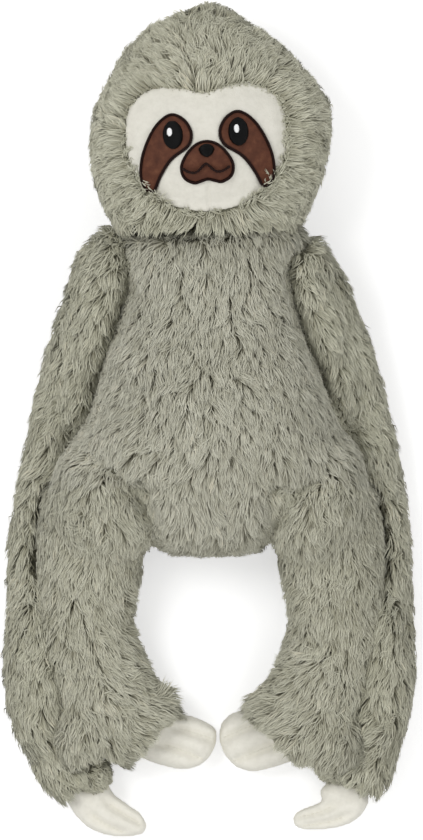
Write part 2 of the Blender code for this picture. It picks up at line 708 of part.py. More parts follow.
def build_head(parent):
    root = pivot("neck_pivot", (0, NECK_Y, NECK_HEIGHT), parent)
    opening = prism(outline(mirrored(FACE_SHARES), FACE_WIDTH, FACE_HEIGHT, 3), HEAD_DEPTH / 2, 2 * HEAD_DEPTH,
                    face_place())
    cover = less(on_floor(head_shape(0)), head_shape(-PILE_WALL, PLAIN), opening, neck_mouth())
    piece("head_cover", cover, GREY_FUR, root)
    piece("head_filling", head_shape(-PILE_WALL - SEAM_GAP, PLAIN), FIBRE, root)
    build_face(root)


def build_leg(side, parent):
    root = pivot("hip_pivot_" + side, (SIDES[side] * LEG_X, HIP_Y - SEAM_GAP, HIP_HEIGHT), parent)

    def solid(amount, detail):
        spare = SEAM_GAP - amount
        inner = CROTCH_WIDTH / 2 + spare
        bottom = TORSO_TOP_Y - TORSO_LENGTH - spare
        crotch = box((-inner, bottom, -CUT_OVERRUN), (inner, CUT_OVERRUN, CUT_OVERRUN))
        return less(leg_shape(side, amount, detail), crotch)

    cover = less(on_floor(solid(0, FINE_LIMB)), solid(-PILE_WALL, PLAIN_LIMB), hip_mouth(side), ankle_mouth(side))
    piece("leg_cover_" + side, cover, GREY_FUR, root)
    piece("leg_filling_" + side, solid(-PILE_WALL - SEAM_GAP, PLAIN_LIMB), FIBRE, root)

    seam = ankle_centre(side)
    seam.z = TOE_DEPTH
    foot = pivot("ankle_pivot_" + side, seam, root)
    cover = less(on_floor(foot_shape(side, 0)), foot_shape(side, -VELOUR_WALL, PLAIN_DIGIT), ankle_mouth(side))
    piece("foot_cover_" + side, cover, OFF_WHITE, foot)
    piece("foot_filling_" + side, foot_shape(side, -VELOUR_WALL - SEAM_GAP, PLAIN_DIGIT), FIBRE, foot)
    threads = groove_threads(side, ankle_centre(side), ANKLE_DEGREES[side], FOOT_DEGREES[side], FOOT_LENGTH,
                             TOE_LENGTH, TOE_WIDTH, TOE_DEPTH, TOE_SPACING, TOE_SETBACK)
    for place, line in zip(("outer", "inner"), threads):
        piece("toe_stitching_" + place + "_" + side, line, GREY_THREAD, foot)


def build_arm(side, parent):
    root = pivot("shoulder_pivot_" + side, (SIDES[side] * ARM_PIVOT_X, ARM_PIVOT_Y, SHOULDER_HEIGHT), parent)

    def solid(amount, detail):
        spare = SEAM_GAP - amount
        return less(arm_shape(side, amount, detail), torso_shape(spare, notched=False), leg_shape(side, spare))

    cover = less(solid(0, FINE_LIMB), solid(-PILE_WALL, PLAIN_LIMB), shoulder_mouth(side), wrist_mouth(side))
    piece("arm_cover_" + side, cover, GREY_FUR, root)
    piece("arm_filling_" + side, solid(-PILE_WALL - SEAM_GAP, PLAIN_LIMB), FIBRE, root)

    seam = wrist_centre(side)
    seam.z = FINGER_DEPTH
    hand = pivot("wrist_pivot_" + side, seam, root)
    cover = less(on_floor(hand_shape(side, 0)), hand_shape(side, -VELOUR_WALL, PLAIN_DIGIT), wrist_mouth(side))
    piece("hand_cover_" + side, cover, OFF_WHITE, hand)
    piece("hand_filling_" + side, hand_shape(side, -VELOUR_WALL - SEAM_GAP, PLAIN_DIGIT), FIBRE, hand)
    threads = groove_threads(side, wrist_centre(side), WRIST_DEGREES[side], HAND_DEGREES[side], HAND_LENGTH,
                             FINGER_LENGTH, FINGER_WIDTH, FINGER_DEPTH, FINGER_SPACING, FINGER_SETBACK)
    for place, line in zip(("outer", "inner"), threads):
        piece("finger_stitching_" + place + "_" + side, line, GREY_THREAD, hand)


def main():
    for item in list(bpy.data.objects):
        bpy.data.objects.remove(item)
    root = pivot("sloth", (0, 0, 0))
    build_torso(root)
    build_head(root)
    for side in SIDES:
        build_leg(side, root)
        build_arm(side, root)
    bpy.context.view_layer.update()


main()
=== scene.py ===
import json
from math import atan2, cos, pi, radians, sin, sqrt

import bmesh
import bpy
import numpy as np
from mathutils import Matrix, Vector, noise
from mathutils.bvhtree import BVHTree
from mathutils.geometry import delaunay_2d_cdt
from mathutils.kdtree import KDTree


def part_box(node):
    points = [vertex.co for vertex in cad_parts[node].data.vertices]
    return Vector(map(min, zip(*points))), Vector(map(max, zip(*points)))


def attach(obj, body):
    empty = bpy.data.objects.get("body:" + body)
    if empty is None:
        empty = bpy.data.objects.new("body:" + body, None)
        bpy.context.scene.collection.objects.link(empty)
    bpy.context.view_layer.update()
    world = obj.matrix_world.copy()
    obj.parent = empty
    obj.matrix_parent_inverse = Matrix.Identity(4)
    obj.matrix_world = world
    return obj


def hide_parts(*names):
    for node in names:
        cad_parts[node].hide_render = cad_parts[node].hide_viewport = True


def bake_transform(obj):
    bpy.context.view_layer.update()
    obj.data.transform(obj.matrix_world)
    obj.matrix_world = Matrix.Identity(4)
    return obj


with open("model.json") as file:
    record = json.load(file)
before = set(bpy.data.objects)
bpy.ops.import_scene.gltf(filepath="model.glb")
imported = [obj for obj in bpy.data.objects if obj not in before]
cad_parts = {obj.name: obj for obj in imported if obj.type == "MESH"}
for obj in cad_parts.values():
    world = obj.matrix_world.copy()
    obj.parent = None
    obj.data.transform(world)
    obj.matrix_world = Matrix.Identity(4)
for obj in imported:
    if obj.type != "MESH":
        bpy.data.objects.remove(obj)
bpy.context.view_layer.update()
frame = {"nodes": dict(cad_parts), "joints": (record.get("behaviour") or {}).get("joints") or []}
sides = {"right": -1, "left": 1}
random = np.random.default_rng(7)
noise.seed_set(7)


# Places and sizes, from the frame

def centreOf(node):
    low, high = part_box(node)
    return (low + high) / 2


headLow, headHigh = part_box("head_cover")
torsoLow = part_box("torso_cover")[0]
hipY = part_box("leg_cover_left")[1].y
neckY = headLow.y
tilt = radians(3)  # of the face, anticlockwise
crotchHalf = 0.033  # half the gap between the legs
backGap = 0.0016  # between the cloth and the floor
face = {
    "centre": Vector((-0.0018, 0.1616)),
    "width": 0.0972,
    "height": 0.0770,
    "shares": ((0, 0.87), (0.22, 0.95), (0.49, 1), (0.74, 0.93), (0.94, 0.70), (1, 0.30), (0.94, -0.22),
               (0.64, -0.70), (0.32, -0.92), (0, -0.98)),
}


# Curves and outlines

def between(points, t):
    # On a smooth curve through four points, a place between the second and the third
    return [(2 * q + (r - p) * t + (2 * p - 5 * q + 4 * r - s) * t ** 2 + (3 * q - p - 3 * r + s) * t ** 3) / 2
            for p, q, r, s in zip(*points)]


def smoothLoop(points, steps):
    count = len(points)
    return [tuple(between([points[(i + k) % count] for k in (-1, 0, 1, 2)], step / steps))
            for i in range(count) for step in range(steps)]


def openCurve(points, steps):
    padded = [points[0], *points, points[-1]]
    spots = [Vector(between(padded[i:i + 4], step / steps))
             for i in range(len(points) - 1) for step in range(steps)]
    return spots + [Vector(points[-1])]


def mirroredHalf(half):
    return tuple(half) + tuple((-x, y) for x, y in reversed(half[1:-1]))


def outlineOf(shares, width, height, steps=4):
    return [Vector((x * width / 2, y * height / 2)) for x, y in smoothLoop(shares, steps)]


def faceSpot(x, y):
    # A place given from the middle of the face, seen from the front
    return face["centre"] + Matrix.Rotation(tilt, 2) @ Vector((x, y))


faceLoop = outlineOf(mirroredHalf(face["shares"]), face["width"], face["height"], 8)
faceOutline = [faceSpot(*point) for point in faceLoop]


# Meshes

def objectFrom(name, mesh):
    item = bpy.data.objects.new(name, mesh)
    bpy.context.scene.collection.objects.link(item)
    return item


def settled(item):
    # The object with its modifiers worked into its mesh
    graph = bpy.context.evaluated_depsgraph_get()
    mesh = bpy.data.meshes.new_from_object(item.evaluated_get(graph))
    old = item.data
    item.modifiers.clear()
    item.data = mesh
    bpy.data.meshes.remove(old)
    mesh.name = item.name
    return item

def pieceFrom(name, bm, material):
    mesh = bpy.data.meshes.new(name)
    bm.to_mesh(mesh)
    bm.free()
    mesh.shade_smooth()
    mesh.materials.append(material)
    item = objectFrom(name, mesh)
    return item


def spotsOf(mesh):
    spots = np.empty(len(mesh.vertices) * 3, np.float32)
    mesh.vertices.foreach_get("co", spots)
    return spots.reshape(-1, 3)


def normalsOf(mesh):
    normals = np.empty(len(mesh.vertices) * 3, np.float32)
    mesh.vertex_normals.foreach_get("vector", normals)
    return normals.reshape(-1, 3)


def moved(item, spots):
    item.data.vertices.foreach_set("co", spots.astype(np.float32).ravel())
    item.data.update()
    return item
def formOf(name, nodes, voxel, smoothing, extras=(), pads=()):
    # One smooth closed body round CAD nodes, round copies of them moved and scaled by extras, and round pads
    bm = bmesh.new()
    for node in nodes:
        for move in (Matrix.Identity(4), *extras):
            part = frame["nodes"][node].data.copy()
            part.transform(move)
            bm.from_mesh(part)
            bpy.data.meshes.remove(part)
    for place, radii in pads:
        bmesh.ops.create_uvsphere(bm, u_segments=24, v_segments=16, radius=1,
                                  matrix=Matrix.Translation(place) @ Matrix.Diagonal((*radii, 1)))
    mesh = bpy.data.meshes.new(name)
    bm.to_mesh(mesh)
    bm.free()
    item = objectFrom(name, mesh)
    remesh = item.modifiers.new("remesh", "REMESH")
    remesh.mode = "VOXEL"
    remesh.voxel_size = voxel
    smooth = item.modifiers.new("smooth", "SMOOTH")
    smooth.factor = 0.5
    smooth.iterations = smoothing
    settled(item)
    keepOutside(item.data)
    return item


def keepOutside(mesh):
    # A cover's hollow leaves a second surface inside: only the island of the outermost point stays
    bm = bmesh.new()
    bm.from_mesh(mesh)
    start = max(bm.verts, key=lambda vert: vert.co.z)
    seen = {start}
    todo = [start]
    while todo:
        vert = todo.pop()
        for edge in vert.link_edges:
            other = edge.other_vert(vert)
            if other not in seen:
                seen.add(other)
                todo.append(other)
    bmesh.ops.delete(bm, geom=[vert for vert in bm.verts if vert not in seen], context="VERTS")
    bm.to_mesh(mesh)
    bm.free()


def shrunk(item, amount):
    # A closed body drawn in along its normals, and kept off the floor
    spots = spotsOf(item.data) - amount * normalsOf(item.data)
    spots[:, 2] = np.maximum(spots[:, 2], backGap)
    item.data.shade_smooth()
    return moved(item, spots)


# Materials

class Socket:
    # A shader value that works with plain arithmetic
    def __init__(self, tree, output):
        self.tree = tree
        self.output = output

    def math(self, operation, other=0, flip=False):
        node = self.tree.nodes.new("ShaderNodeMath")
        node.operation = operation
        values = (other, self) if flip else (self, other)
        for slot, value in zip(node.inputs, values):
            if isinstance(value, Socket):
                self.tree.links.new(value.output, slot)
            else:
                slot.default_value = value
        return Socket(self.tree, node.outputs[0])

    def __add__(self, other):
        return self.math("ADD", other)

    def __radd__(self, other):
        return self.math("ADD", other, True)

    def __mul__(self, other):
        return self.math("MULTIPLY", other)

    def __rmul__(self, other):
        return self.math("MULTIPLY", other, True)


class Finish:
    def __init__(self, name, colour, roughness, sheen=0.0):
        self.material = bpy.data.materials.new(name)
        self.material.use_nodes = True
        self.tree = self.material.node_tree
        self.shader = self.tree.nodes["Principled BSDF"]
        self.shader.inputs["Base Color"].default_value = (*colour, 1)
        self.shader.inputs["Roughness"].default_value = roughness
        self.shader.inputs["Metallic"].default_value = 0
        self.shader.inputs["Specular IOR Level"].default_value = 0.25
        self.shader.inputs["Sheen Weight"].default_value = sheen
        self.shader.inputs["Sheen Roughness"].default_value = 0.5

    def node(self, kind, inputs=(), output=0, **settings):
        node = self.tree.nodes.new(kind)
        for key, value in settings.items():
            setattr(node, key, value)
        for name, value in dict(inputs).items():
            if isinstance(value, Socket):
                self.tree.links.new(value.output, node.inputs[name])
            else:
                node.inputs[name].default_value = value
        return Socket(self.tree, node.outputs[output])

    def feed(self, name, value):
        self.tree.links.new(value.output, self.shader.inputs[name])

    def noise(self, scale, detail, roughness=0.5):
        place = self.node("ShaderNodeTexCoord", output="Object")
        return self.node("ShaderNodeTexNoise",
                         {"Vector": place, "Scale": scale, "Detail": detail, "Roughness": roughness})

    def ramp(self, value, stops):
        node = self.tree.nodes.new("ShaderNodeValToRGB")
        self.tree.links.new(value.output, node.inputs[0])
        elements = node.color_ramp.elements
        while len(elements) < len(stops):
            elements.new(0.5)
        for element, (position, colour) in zip(elements, stops):
            element.position = position
            element.color = (*colour, 1)
        return Socket(self.tree, node.outputs[0])

    def mix(self, share, first, second):
        return self.node("ShaderNodeMix", {0: share, 6: first, 7: second}, 2, data_type="RGBA")

    def bump(self, height, distance, strength=1.0):
        self.feed("Normal", self.node("ShaderNodeBump",
                                      {"Height": height, "Distance": distance, "Strength": strength}))


def linear(red, green, blue):
    # A colour as a screen shows it, turned into light
    return tuple(c / 12.92 if c <= 0.04045 else ((c + 0.055) / 1.055) ** 2.4
                 for c in (red / 255, green / 255, blue / 255))


def furFinish(name, dark, pale, blue):
    # Along the hair, from its dark root to its pale tip, with a shade for each hair in the map's other direction
    def tinted(share, r, g, b):
        return linear(r * share, g * share, (b - blue) * share)

    finish = Finish(name, linear(150, 149, 133), 0.75)
    place = finish.node("ShaderNodeUVMap", uv_map="OFBake")
    parts = finish.tree.nodes.new("ShaderNodeSeparateXYZ")
    finish.tree.links.new(place.output, parts.inputs[0])
    shade = Socket(finish.tree, parts.outputs[0])
    along = Socket(finish.tree, parts.outputs[1])
    root = finish.ramp(shade, ((0.0, tinted(dark, 128, 124, 106)), (1.0, tinted(dark, 168, 165, 147))))
    tip = finish.ramp(shade, ((0.0, tinted(pale, 190, 188, 170)), (0.5, tinted(pale, 214, 213, 197)),
                              (0.85, tinted(pale, 226, 225, 210)), (1.0, tinted(pale, 232, 226, 206))))
    finish.feed("Base Color", finish.mix(along, root, tip))
    return finish.material


def backingShadeFinish():
    # The backing is darker than the pile's roots. This is partly the cloth's own colour and partly a painted shade
    # where it shows through gaps and folds in the pile
    finish = Finish("long pile backing and painted shade", linear(99, 98, 83), 0.95)
    finish.bump(finish.noise(900, 2), 0.0004)
    return finish.material


# The long pile

strand = {
    "length": 0.0120,
    "rootRadius": 0.00042,
    "midRadius": 0.00036,
    "rootDepth": 0.001,
    "lift": 0.42,  # of its length, along the surface's normal
    "bow": 0.12,  # of its length, at its middle
    "crook": 0.0007,  # how far its middle strays
    "stray": 0.24,  # how far it leaves the heading of its neighbours
    "sway": 0.70,  # how far a whole region leaves the flow
    "lockSpacing": 0.0047,
    "gather": 0.60,  # how far a strand's tip is drawn to its lock's
    "underside": 0.30,  # density under the toy
    "floorGap": 0.0004,
}
class Ground:
    # A form's surface as triangles, each weighted by how thickly the pile grows there
    def __init__(self, item, weight):
        mesh = item.data
        mesh.calc_loop_triangles()
        corners = np.empty(len(mesh.loop_triangles) * 3, np.int32)
        mesh.loop_triangles.foreach_get("vertices", corners)
        self.corners = corners.reshape(-1, 3)
        self.spots = spotsOf(mesh).astype(float)
        self.normals = normalsOf(mesh).astype(float)
        a, b, c = (self.spots[self.corners[:, k]] for k in range(3))
        area = np.linalg.norm(np.cross(b - a, c - a), axis=1) / 2
        self.chance = np.cumsum(area * weight((a + b + c) / 3, self.normals[self.corners].mean(1)))
        self.total = self.chance[-1]

    def drawn(self, count):
        # Even steps through the summed area, with a little shake, leave fewer holes than free draws
        draws = (np.arange(count) + random.random(count)) / count * self.total
        chosen = self.corners[np.minimum(np.searchsorted(self.chance, draws), len(self.corners) - 1)]
        u = np.sqrt(random.random(count))
        v = random.random(count)
        shares = np.stack((1 - u, u * (1 - v), u * v), 1)[:, :, None]
        return (self.spots[chosen] * shares).sum(1), unit((self.normals[chosen] * shares).sum(1))


def unit(vectors):
    return vectors / (np.linalg.norm(vectors, axis=-1)[..., None] + 1e-9)


def fieldNoise(places, scale, seed):
    return np.array([noise.noise_vector(Vector(p) * scale + Vector((seed, 0, seed))) for p in places])


def lineDistance(points, line):
    # The distance from each place to a line, and how far along it that is
    best = np.full(len(points), 1e9)
    share = np.zeros(len(points))
    for i, (a, b) in enumerate(zip(line, line[1:])):
        start, step = np.array(a), np.array(b) - np.array(a)
        away = points - start
        t = np.clip((away @ step) / (step @ step), 0, 1)
        distance = np.linalg.norm(away - t[:, None] * step, axis=1)
        share = np.where(distance < best, (i + t) / (len(line) - 1), share)
        best = np.minimum(best, distance)
    return best, share


def furOn(name, skin, flow, weight, rides, thickness=1.0, length=1.0, gatherShare=1.0, lockSize=1.0, wander=1.0,
          liftShare=1.0, trim=None):
    # Locks come first, then strands that lean towards the tip of the nearest lock
    def headingOf(place, normal, stray):
        heading = flow(place, normal) + stray
        return unit(heading - normal * (heading * normal).sum(1)[:, None])

    def reachOf(place, low, high):
        reach = strand["length"] * length * random.uniform(low, high, len(place)) * creaseTrim(place)
        return reach * trim(place) if trim else reach

    def tipOf(place, normal, heading, reach, lift):
        flat = reach * np.sqrt(np.maximum(1 - lift ** 2, 0.1))
        return place + heading * flat[:, None] + normal * (reach * lift)[:, None]

    ground = Ground(skin, weight)
    lockSpacing = strand["lockSpacing"] * lockSize
    lockCount = max(int(ground.total / lockSpacing ** 2), 4)
    count = max(int(ground.total * (density * thickness)), 10)
    lift = strand["lift"] * liftShare
    lockPlace, lockNormal = ground.drawn(lockCount)
    lockWander = fieldNoise(lockPlace, 55, 3.0) * strand["sway"] * wander
    lockWander = lockWander + random.normal(0, strand["stray"] * wander, (lockCount, 3))
    lockHeading = headingOf(lockPlace, lockNormal, lockWander)
    lockReach = reachOf(lockPlace, 0.85, 1.2)
    lockLift = lift * random.uniform(0.75, 1.3, lockCount)
    lockTip = tipOf(lockPlace, lockNormal, lockHeading, lockReach, lockLift)
    lockShade = random.normal(0, 0.12, lockCount) + fieldNoise(lockPlace, 30, 9.0)[:, 0] * 0.18

    place, normal = ground.drawn(count)
    tree = KDTree(lockCount)
    for i, spot in enumerate(lockPlace):
        tree.insert(spot, i)
    tree.balance()
    found = [tree.find(spot)[1:] for spot in place]
    owner = np.array([index for index, distance in found])
    near = np.array([distance for index, distance in found]) < lockSpacing * 2

    heading = headingOf(place, normal, lockWander[owner] + random.normal(0, strand["stray"], (count, 3)))
    reach = reachOf(place, 0.65, 1.12)
    tip = tipOf(place, normal, heading, reach, lift * random.uniform(0.6, 1.35, count))
    gather = strand["gather"] * gatherShare * random.uniform(0.45, 1.1, count) * near
    tip += (lockTip[owner] - tip) * gather[:, None]
    middle = place + (tip - place) * 0.5 + normal * (reach * strand["bow"])[:, None]
    middle += random.normal(0, strand["crook"], (count, 3))
    item = strandMesh(name, place - normal * strand["rootDepth"], middle, tip, normal, lockShade[owner])
    ridesOn(item, *rides)


def strandMesh(name, root, middle, tip, normal, lockShade):
    count = len(root)
    for points in (root, middle, tip):
        points[:, 2] = np.maximum(points[:, 2], strand["floorGap"])
    along = unit(tip - root)
    across = unit(np.cross(along, normal) + 1e-6)
    up = np.cross(across, along)
    thickness = random.uniform(0.75, 1.25, count)[:, None]
    spin = random.uniform(0, 2 * pi, count)
    vertices = np.empty((count, 7, 3))
    outward = np.empty((count, 7, 3))
    for ring, (centre, radius) in enumerate(((root, strand["rootRadius"]), (middle, strand["midRadius"]))):
        for k in range(3):
            turn = spin + 2 * pi * k / 3
            spoke = across * np.cos(turn)[:, None] + up * np.sin(turn)[:, None]
            vertices[:, ring * 3 + k] = centre + spoke * radius * thickness
            outward[:, ring * 3 + k] = spoke
    vertices[:, 6] = tip
    outward[:, 6] = up
    vertices[:, :, 2] = np.maximum(vertices[:, :, 2], strand["floorGap"] / 2)
    soft = unit(outward * 0.45 + normal[:, None, :] * 0.75)  # it is shaded partly as the cloth under it

    faces = []
    for k in range(3):
        following = (k + 1) % 3
        faces += [(k, 3 + following, following), (k, 3 + k, 3 + following), (3 + k, 6, 3 + following)]
    faces = np.array(faces, np.int32)
    corners = (faces[None] + (np.arange(count, dtype=np.int32) * 7)[:, None, None]).reshape(-1)
    faceCount = count * len(faces)

    mesh = bpy.data.meshes.new(name)
    mesh.vertices.add(count * 7)
    mesh.vertices.foreach_set("co", vertices.reshape(-1).astype(np.float32))
    mesh.loops.add(faceCount * 3)
    mesh.loops.foreach_set("vertex_index", corners)
    mesh.polygons.add(faceCount)
    mesh.polygons.foreach_set("loop_start", np.arange(faceCount, dtype=np.int32) * 3)
    mesh.update(calc_edges=True)
    mesh.shade_smooth()
    mesh.normals_split_custom_set_from_vertices(soft.reshape(-1, 3).astype(np.float32))

    shade = np.clip(0.5 + lockShade + random.normal(0, 0.16, count), 0.02, 0.98)
    height = np.array([0.03, 0.03, 0.03, 0.52, 0.52, 0.52, 0.97])
    layer = mesh.uv_layers.new(name="OFBake")
    coordinates = np.empty((count, 7, 2), np.float32)
    coordinates[:, :, 0] = shade[:, None]
    coordinates[:, :, 1] = height[None]
    layer.data.foreach_set("uv", coordinates.reshape(-1, 2)[corners].reshape(-1))
    item = objectFrom(name, mesh)
    item.data.materials.append(furMaterials[name.split("_")[0]])
    return item


# The head and the limbs are a little warmer than the body, the head and the sleeves also more contrasting
furMaterials = {
    "torso": furFinish("long pile of the body", 1.0, 1.0, 1),
    "leg": furFinish("long pile of the legs", 1.0, 1.0, 3),
    "head": furFinish("long pile of the head", 0.93, 1.03, 4),
    "arm": furFinish("long pile of the sleeves", 0.95, 1.02, 4),
}
backingShadeMaterial = backingShadeFinish()
density = 1150000  # strands for each square metre


creases = {
    # On the front, in millimetres: where each leg folds and where each sleeve lies against the chest
    "hips": {
        "lines": (((-72, -17), (-44, -41), (-31, -62), (-30, -80)), ((70, -30), (54, -41), (37, -64), (30, -80))),
        "depth": 0.0066, "width": 0.0068, "trim": 0.46, "trimWidth": 0.0070,
    },
    "sleeves": {
        "lines": (((-50, 101), (-47, 79), (-54, 58), (-62, 41), (-69, 5), (-82, -14)),
                  ((48, 98), (48, 88), (53, 60), (64, 36), (82, -4))),
        "depth": 0.0100, "width": 0.0065, "trim": 0.70, "trimWidth": 0.0065,
    },
}


def ridesOn(item, body, other=None, start=None, end=None):
    if other:
        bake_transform(item)
    else:
        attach(item, body)


def treeOf(item):
    return BVHTree.FromPolygons([vert.co.copy() for vert in item.data.vertices],
                                [tuple(face.vertices) for face in item.data.polygons])


def buried(places, trees, depth=0.0015):
    # 1 where a place lies deeper than that inside one of the forms
    found = np.zeros(len(places))
    for tree in trees:
        for i, place in enumerate(places):
            spot, normal, _, _ = tree.find_nearest(Vector(place), 0.04)
            if spot and (Vector(place) - spot).dot(normal) < -depth:
                found[i] = 1
    return found


def fromFront(places, line):
    # The distance from each place to a line in millimetres, and how far along it that is
    return lineDistance(places[:, :2], [(x / 1000, y / 1000) for x, y in line])


def creaseTrim(places):
    # The pile is short in the folds
    trims = []
    for crease in creases.values():
        gap = np.min([fromFront(places, line)[0] for line in crease["lines"]], axis=0)
        trims.append(crease["trim"] * np.exp(-(gap / crease["trimWidth"]) ** 2))
    return 1 - np.maximum(*trims) * (places[:, 2] > 0.02)


def pressed(item, crease, lowest):
    # A crease pressed into the front of a form, above a height
    spots = spotsOf(item.data).astype(float)
    normals = normalsOf(item.data).astype(float)
    press = np.zeros(len(spots))
    for line in crease["lines"]:
        gap, along = fromFront(spots, line)
        ends = np.clip(4 * np.minimum(along, 1 - along) + 0.4, 0, 1)
        press = np.maximum(press, np.exp(-(gap / crease["width"]) ** 2) * ends)
    press *= crease["depth"] * (spots[:, 2] > lowest) * np.clip(normals[:, 2], 0, 1)
    return moved(item, spots - normals * press[:, None])


def seen(places, normals):
    # Fewer strands where the toy lies on its back
    return np.where(normals[:, 2] > -0.25, 1.0, strand["underside"])


def dressed(skin, fill, rides, *nodes):
    # The cloth under the pile, which stands for the solids
    skin.data.materials.append(backingShadeMaterial)
    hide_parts(*nodes)
    ridesOn(skin, *rides)


def narrowed(centre, ahead, share):
    # A copy moved ahead along the body and drawn in round its length
    x, y, z = centre
    return (Matrix.Translation((x, y + ahead, z)) @ Matrix.Diagonal((share, 1, share, 1))
            @ Matrix.Translation((-x, -y, -z)))


# Torso

# Where the stuffing is fuller: the place and the radii of each swelling
neckPad = ((0.012, neckY - 0.004, 0.050), (0.046, 0.018, 0.032))
hipPads = {side: ((sign * 0.060, hipY - 0.004, 0.047), (0.034, 0.046, 0.036)) for side, sign in sides.items()}
heelPads = {"right": ((-0.0780, -0.1885, 0.026), (0.0165, 0.0230, 0.020)),
            "left": ((0.0750, -0.1920, 0.026), (0.0185, 0.0210, 0.020))}
cuffPads = {"right": ((-0.0700, -0.2130, 0.018), (0.0135, 0.0135, 0.0165)),
            "left": ((0.0750, -0.2075, 0.018), (0.0140, 0.0135, 0.0165))}


def legNodes(side):
    return ["leg_cover_" + side, "leg_filling_" + side]


def creased(form):
    frontLow = 0.030
    pressed(form, creases["hips"], frontLow)
    return pressed(form, creases["sleeves"], frontLow)


def makeBodyForm():
    # The pile of the torso and the legs grows from one smooth form, so that no step shows where they meet
    nodes = ["torso_cover", "torso_filling", *legNodes("right"), *legNodes("left")]
    pads = [neckPad, *hipPads.values(), *heelPads.values()]
    return creased(shrunk(formOf("body_form", nodes, 0.0028, 26, pads=pads), 0.0045))


def torsoFlow(places, normals):
    flow = np.zeros_like(places)
    flow[:, 0] = places[:, 0] * 6.0
    flow[:, 1] = -1
    flow[:, 2] = -0.5 * np.clip(-normals[:, 1], 0, 1)
    return flow


def isLeg(places):
    beside = (places[:, 1] < hipY) & (np.abs(places[:, 0]) > crotchHalf)
    return beside | (places[:, 1] < torsoLow.y - 0.006)


def torsoWeight(places, normals):
    return seen(places, normals) * (places[:, 1] < neckY + 0.004) * ~isLeg(places)


def makeTorso(form, formTree, headTree, armTrees):
    # A narrower copy runs on into the head, so that no gap opens at the neck
    into = narrowed((0, 0, 0.045), 0.014, 0.9)
    nodes = ["torso_cover", "torso_filling"]
    skin = creased(shrunk(formOf("torso_skin", nodes, 0.0026, 20, [into]), 0.0060))
    dressed(skin, 0.7, ["torso"], *nodes)

    def trim(places):
        # Short behind the sleeves, where it only shows when an arm is lifted
        return 1 - 0.5 * buried(places, armTrees, 0.002)

    bands = {"upper": (0.055, 1), "middle": (0.005, 0.055), "lower": (-0.045, 0.005), "crotch": (-1, -0.045)}
    for part, (low, high) in bands.items():
        def weight(places, normals):
            inside = (places[:, 1] > low) & (places[:, 1] <= high)
            free = (1 - buried(places, [headTree], 0.0035)) * (1 - 0.4 * buried(places, armTrees, 0.0035))
            return torsoWeight(places, normals) * inside * free
        furOn("torso_pile_" + part, form, torsoFlow, weight, ["torso"], trim=trim)

    def innerWeight(places, normals):
        # What a lifted leg uncovers
        return (places[:, 1] < hipY + 0.02) * buried(places, [formTree], 0.0042)

    furOn("torso_pile_inner", skin, torsoFlow, innerWeight, ["torso"], thickness=0.6, length=0.5)


# Head

def sloped(form, turn, limit):
    # Flattens what lies beyond a slanting line seen from above
    across = Vector((cos(turn), sin(turn), 0))
    for vert in form.data.vertices:
        beyond = vert.co.dot(across) - limit
        if beyond > 0:
            vert.co -= across * beyond * 0.85
    return form


crown = {
    "push": 0.0094, "from": 0.020, "to": 0.062, "height": 0.196, "reach": 0.045,  # the swelling on its left
    "slope": 1.994, "limit": 0.2291,  # the flatter right
}
neckSpan = ((0, neckY - 0.004, 0.048), (0, neckY + 0.009, 0.048))
patchTips = ((-0.0345, 0.1374), (0.0339, 0.1404))


def makeHeadForm():
    # The stuffing has slipped to the left of the crown, so that the head is fuller there
    form = formOf("head_skin", ["head_cover", "head_filling", "face_panel"], 0.0022, 12)
    spots = spotsOf(form.data).astype(float)
    share = np.clip((spots[:, 0] - crown["from"]) / (crown["to"] - crown["from"]), 0, 1)
    share = share * share * (3 - 2 * share)
    spots[:, 0] += crown["push"] * share * np.exp(-((spots[:, 1] - crown["height"]) / crown["reach"]) ** 2)
    return sloped(moved(form, spots), crown["slope"], crown["limit"])


def onFront(places):
    return places[:, 2] > headHigh.z / 2


def rimFlow(places, normals):
    return headFlow(places, normals) * -0.22


def rimWeight(places, normals):
    part = facePart(places)
    return (part > 0.97) & (part < 1.08) & onFront(places)
def rimTrim(places):
    # The brow's edge is clean, most of all on its right, the cheeks' and the chin's is soft
    clean = 0.60 - 0.22 * np.clip((places[:, 0] - face["centre"].x) / 0.02, -1, 1)
    return 1 - clean * np.clip((places[:, 1] - face["centre"].y) / 0.02, 0, 1)


def tipWeight(places, normals):
    tips = np.min([np.hypot(places[:, 0] - x, places[:, 1] - y) for x, y in patchTips], axis=0)
    part = facePart(places)
    return (tips < 0.011) & (part > 0.96) & (part < 1.12) & onFront(places)


def headFlow(places, normals):
    flow = np.zeros_like(places)
    away = places[:, :2] - np.array([face["centre"].x, face["centre"].y - 0.004])
    # The pile is combed away from the face most strongly at its rim
    hold = 1 + 1.4 * np.exp(-((facePart(places) - 1) / 0.22) ** 2) * onFront(places)
    flow[:, :2] = unit(away) * hold[:, None]
    flow[:, 1] -= 0.45
    flow[:, 2] = -0.15
    return flow


facePolar = sorted((atan2(p.y - face["centre"].y, p.x - face["centre"].x), (p - face["centre"]).length)
                   for p in faceOutline)
faceTurns = np.array([turn for turn, reach in facePolar])
faceReaches = np.array([reach for turn, reach in facePolar])


def facePart(places):
    # 1 on the face's outline, less inside it
    away = places[:, :2] - np.array(face["centre"])
    turns = np.arctan2(away[:, 1], away[:, 0])
    reach = np.interp(turns, faceTurns, faceReaches, period=2 * pi)
    return np.linalg.norm(away, axis=1) / reach


def headWeight(places, normals):
    weight = seen(places, normals)
    weight[(places[:, 1] < neckY + 0.006) & (normals[:, 1] < -0.75)] = 0
    weight[(facePart(places) < 0.97) & onFront(places)] = 0
    return weight


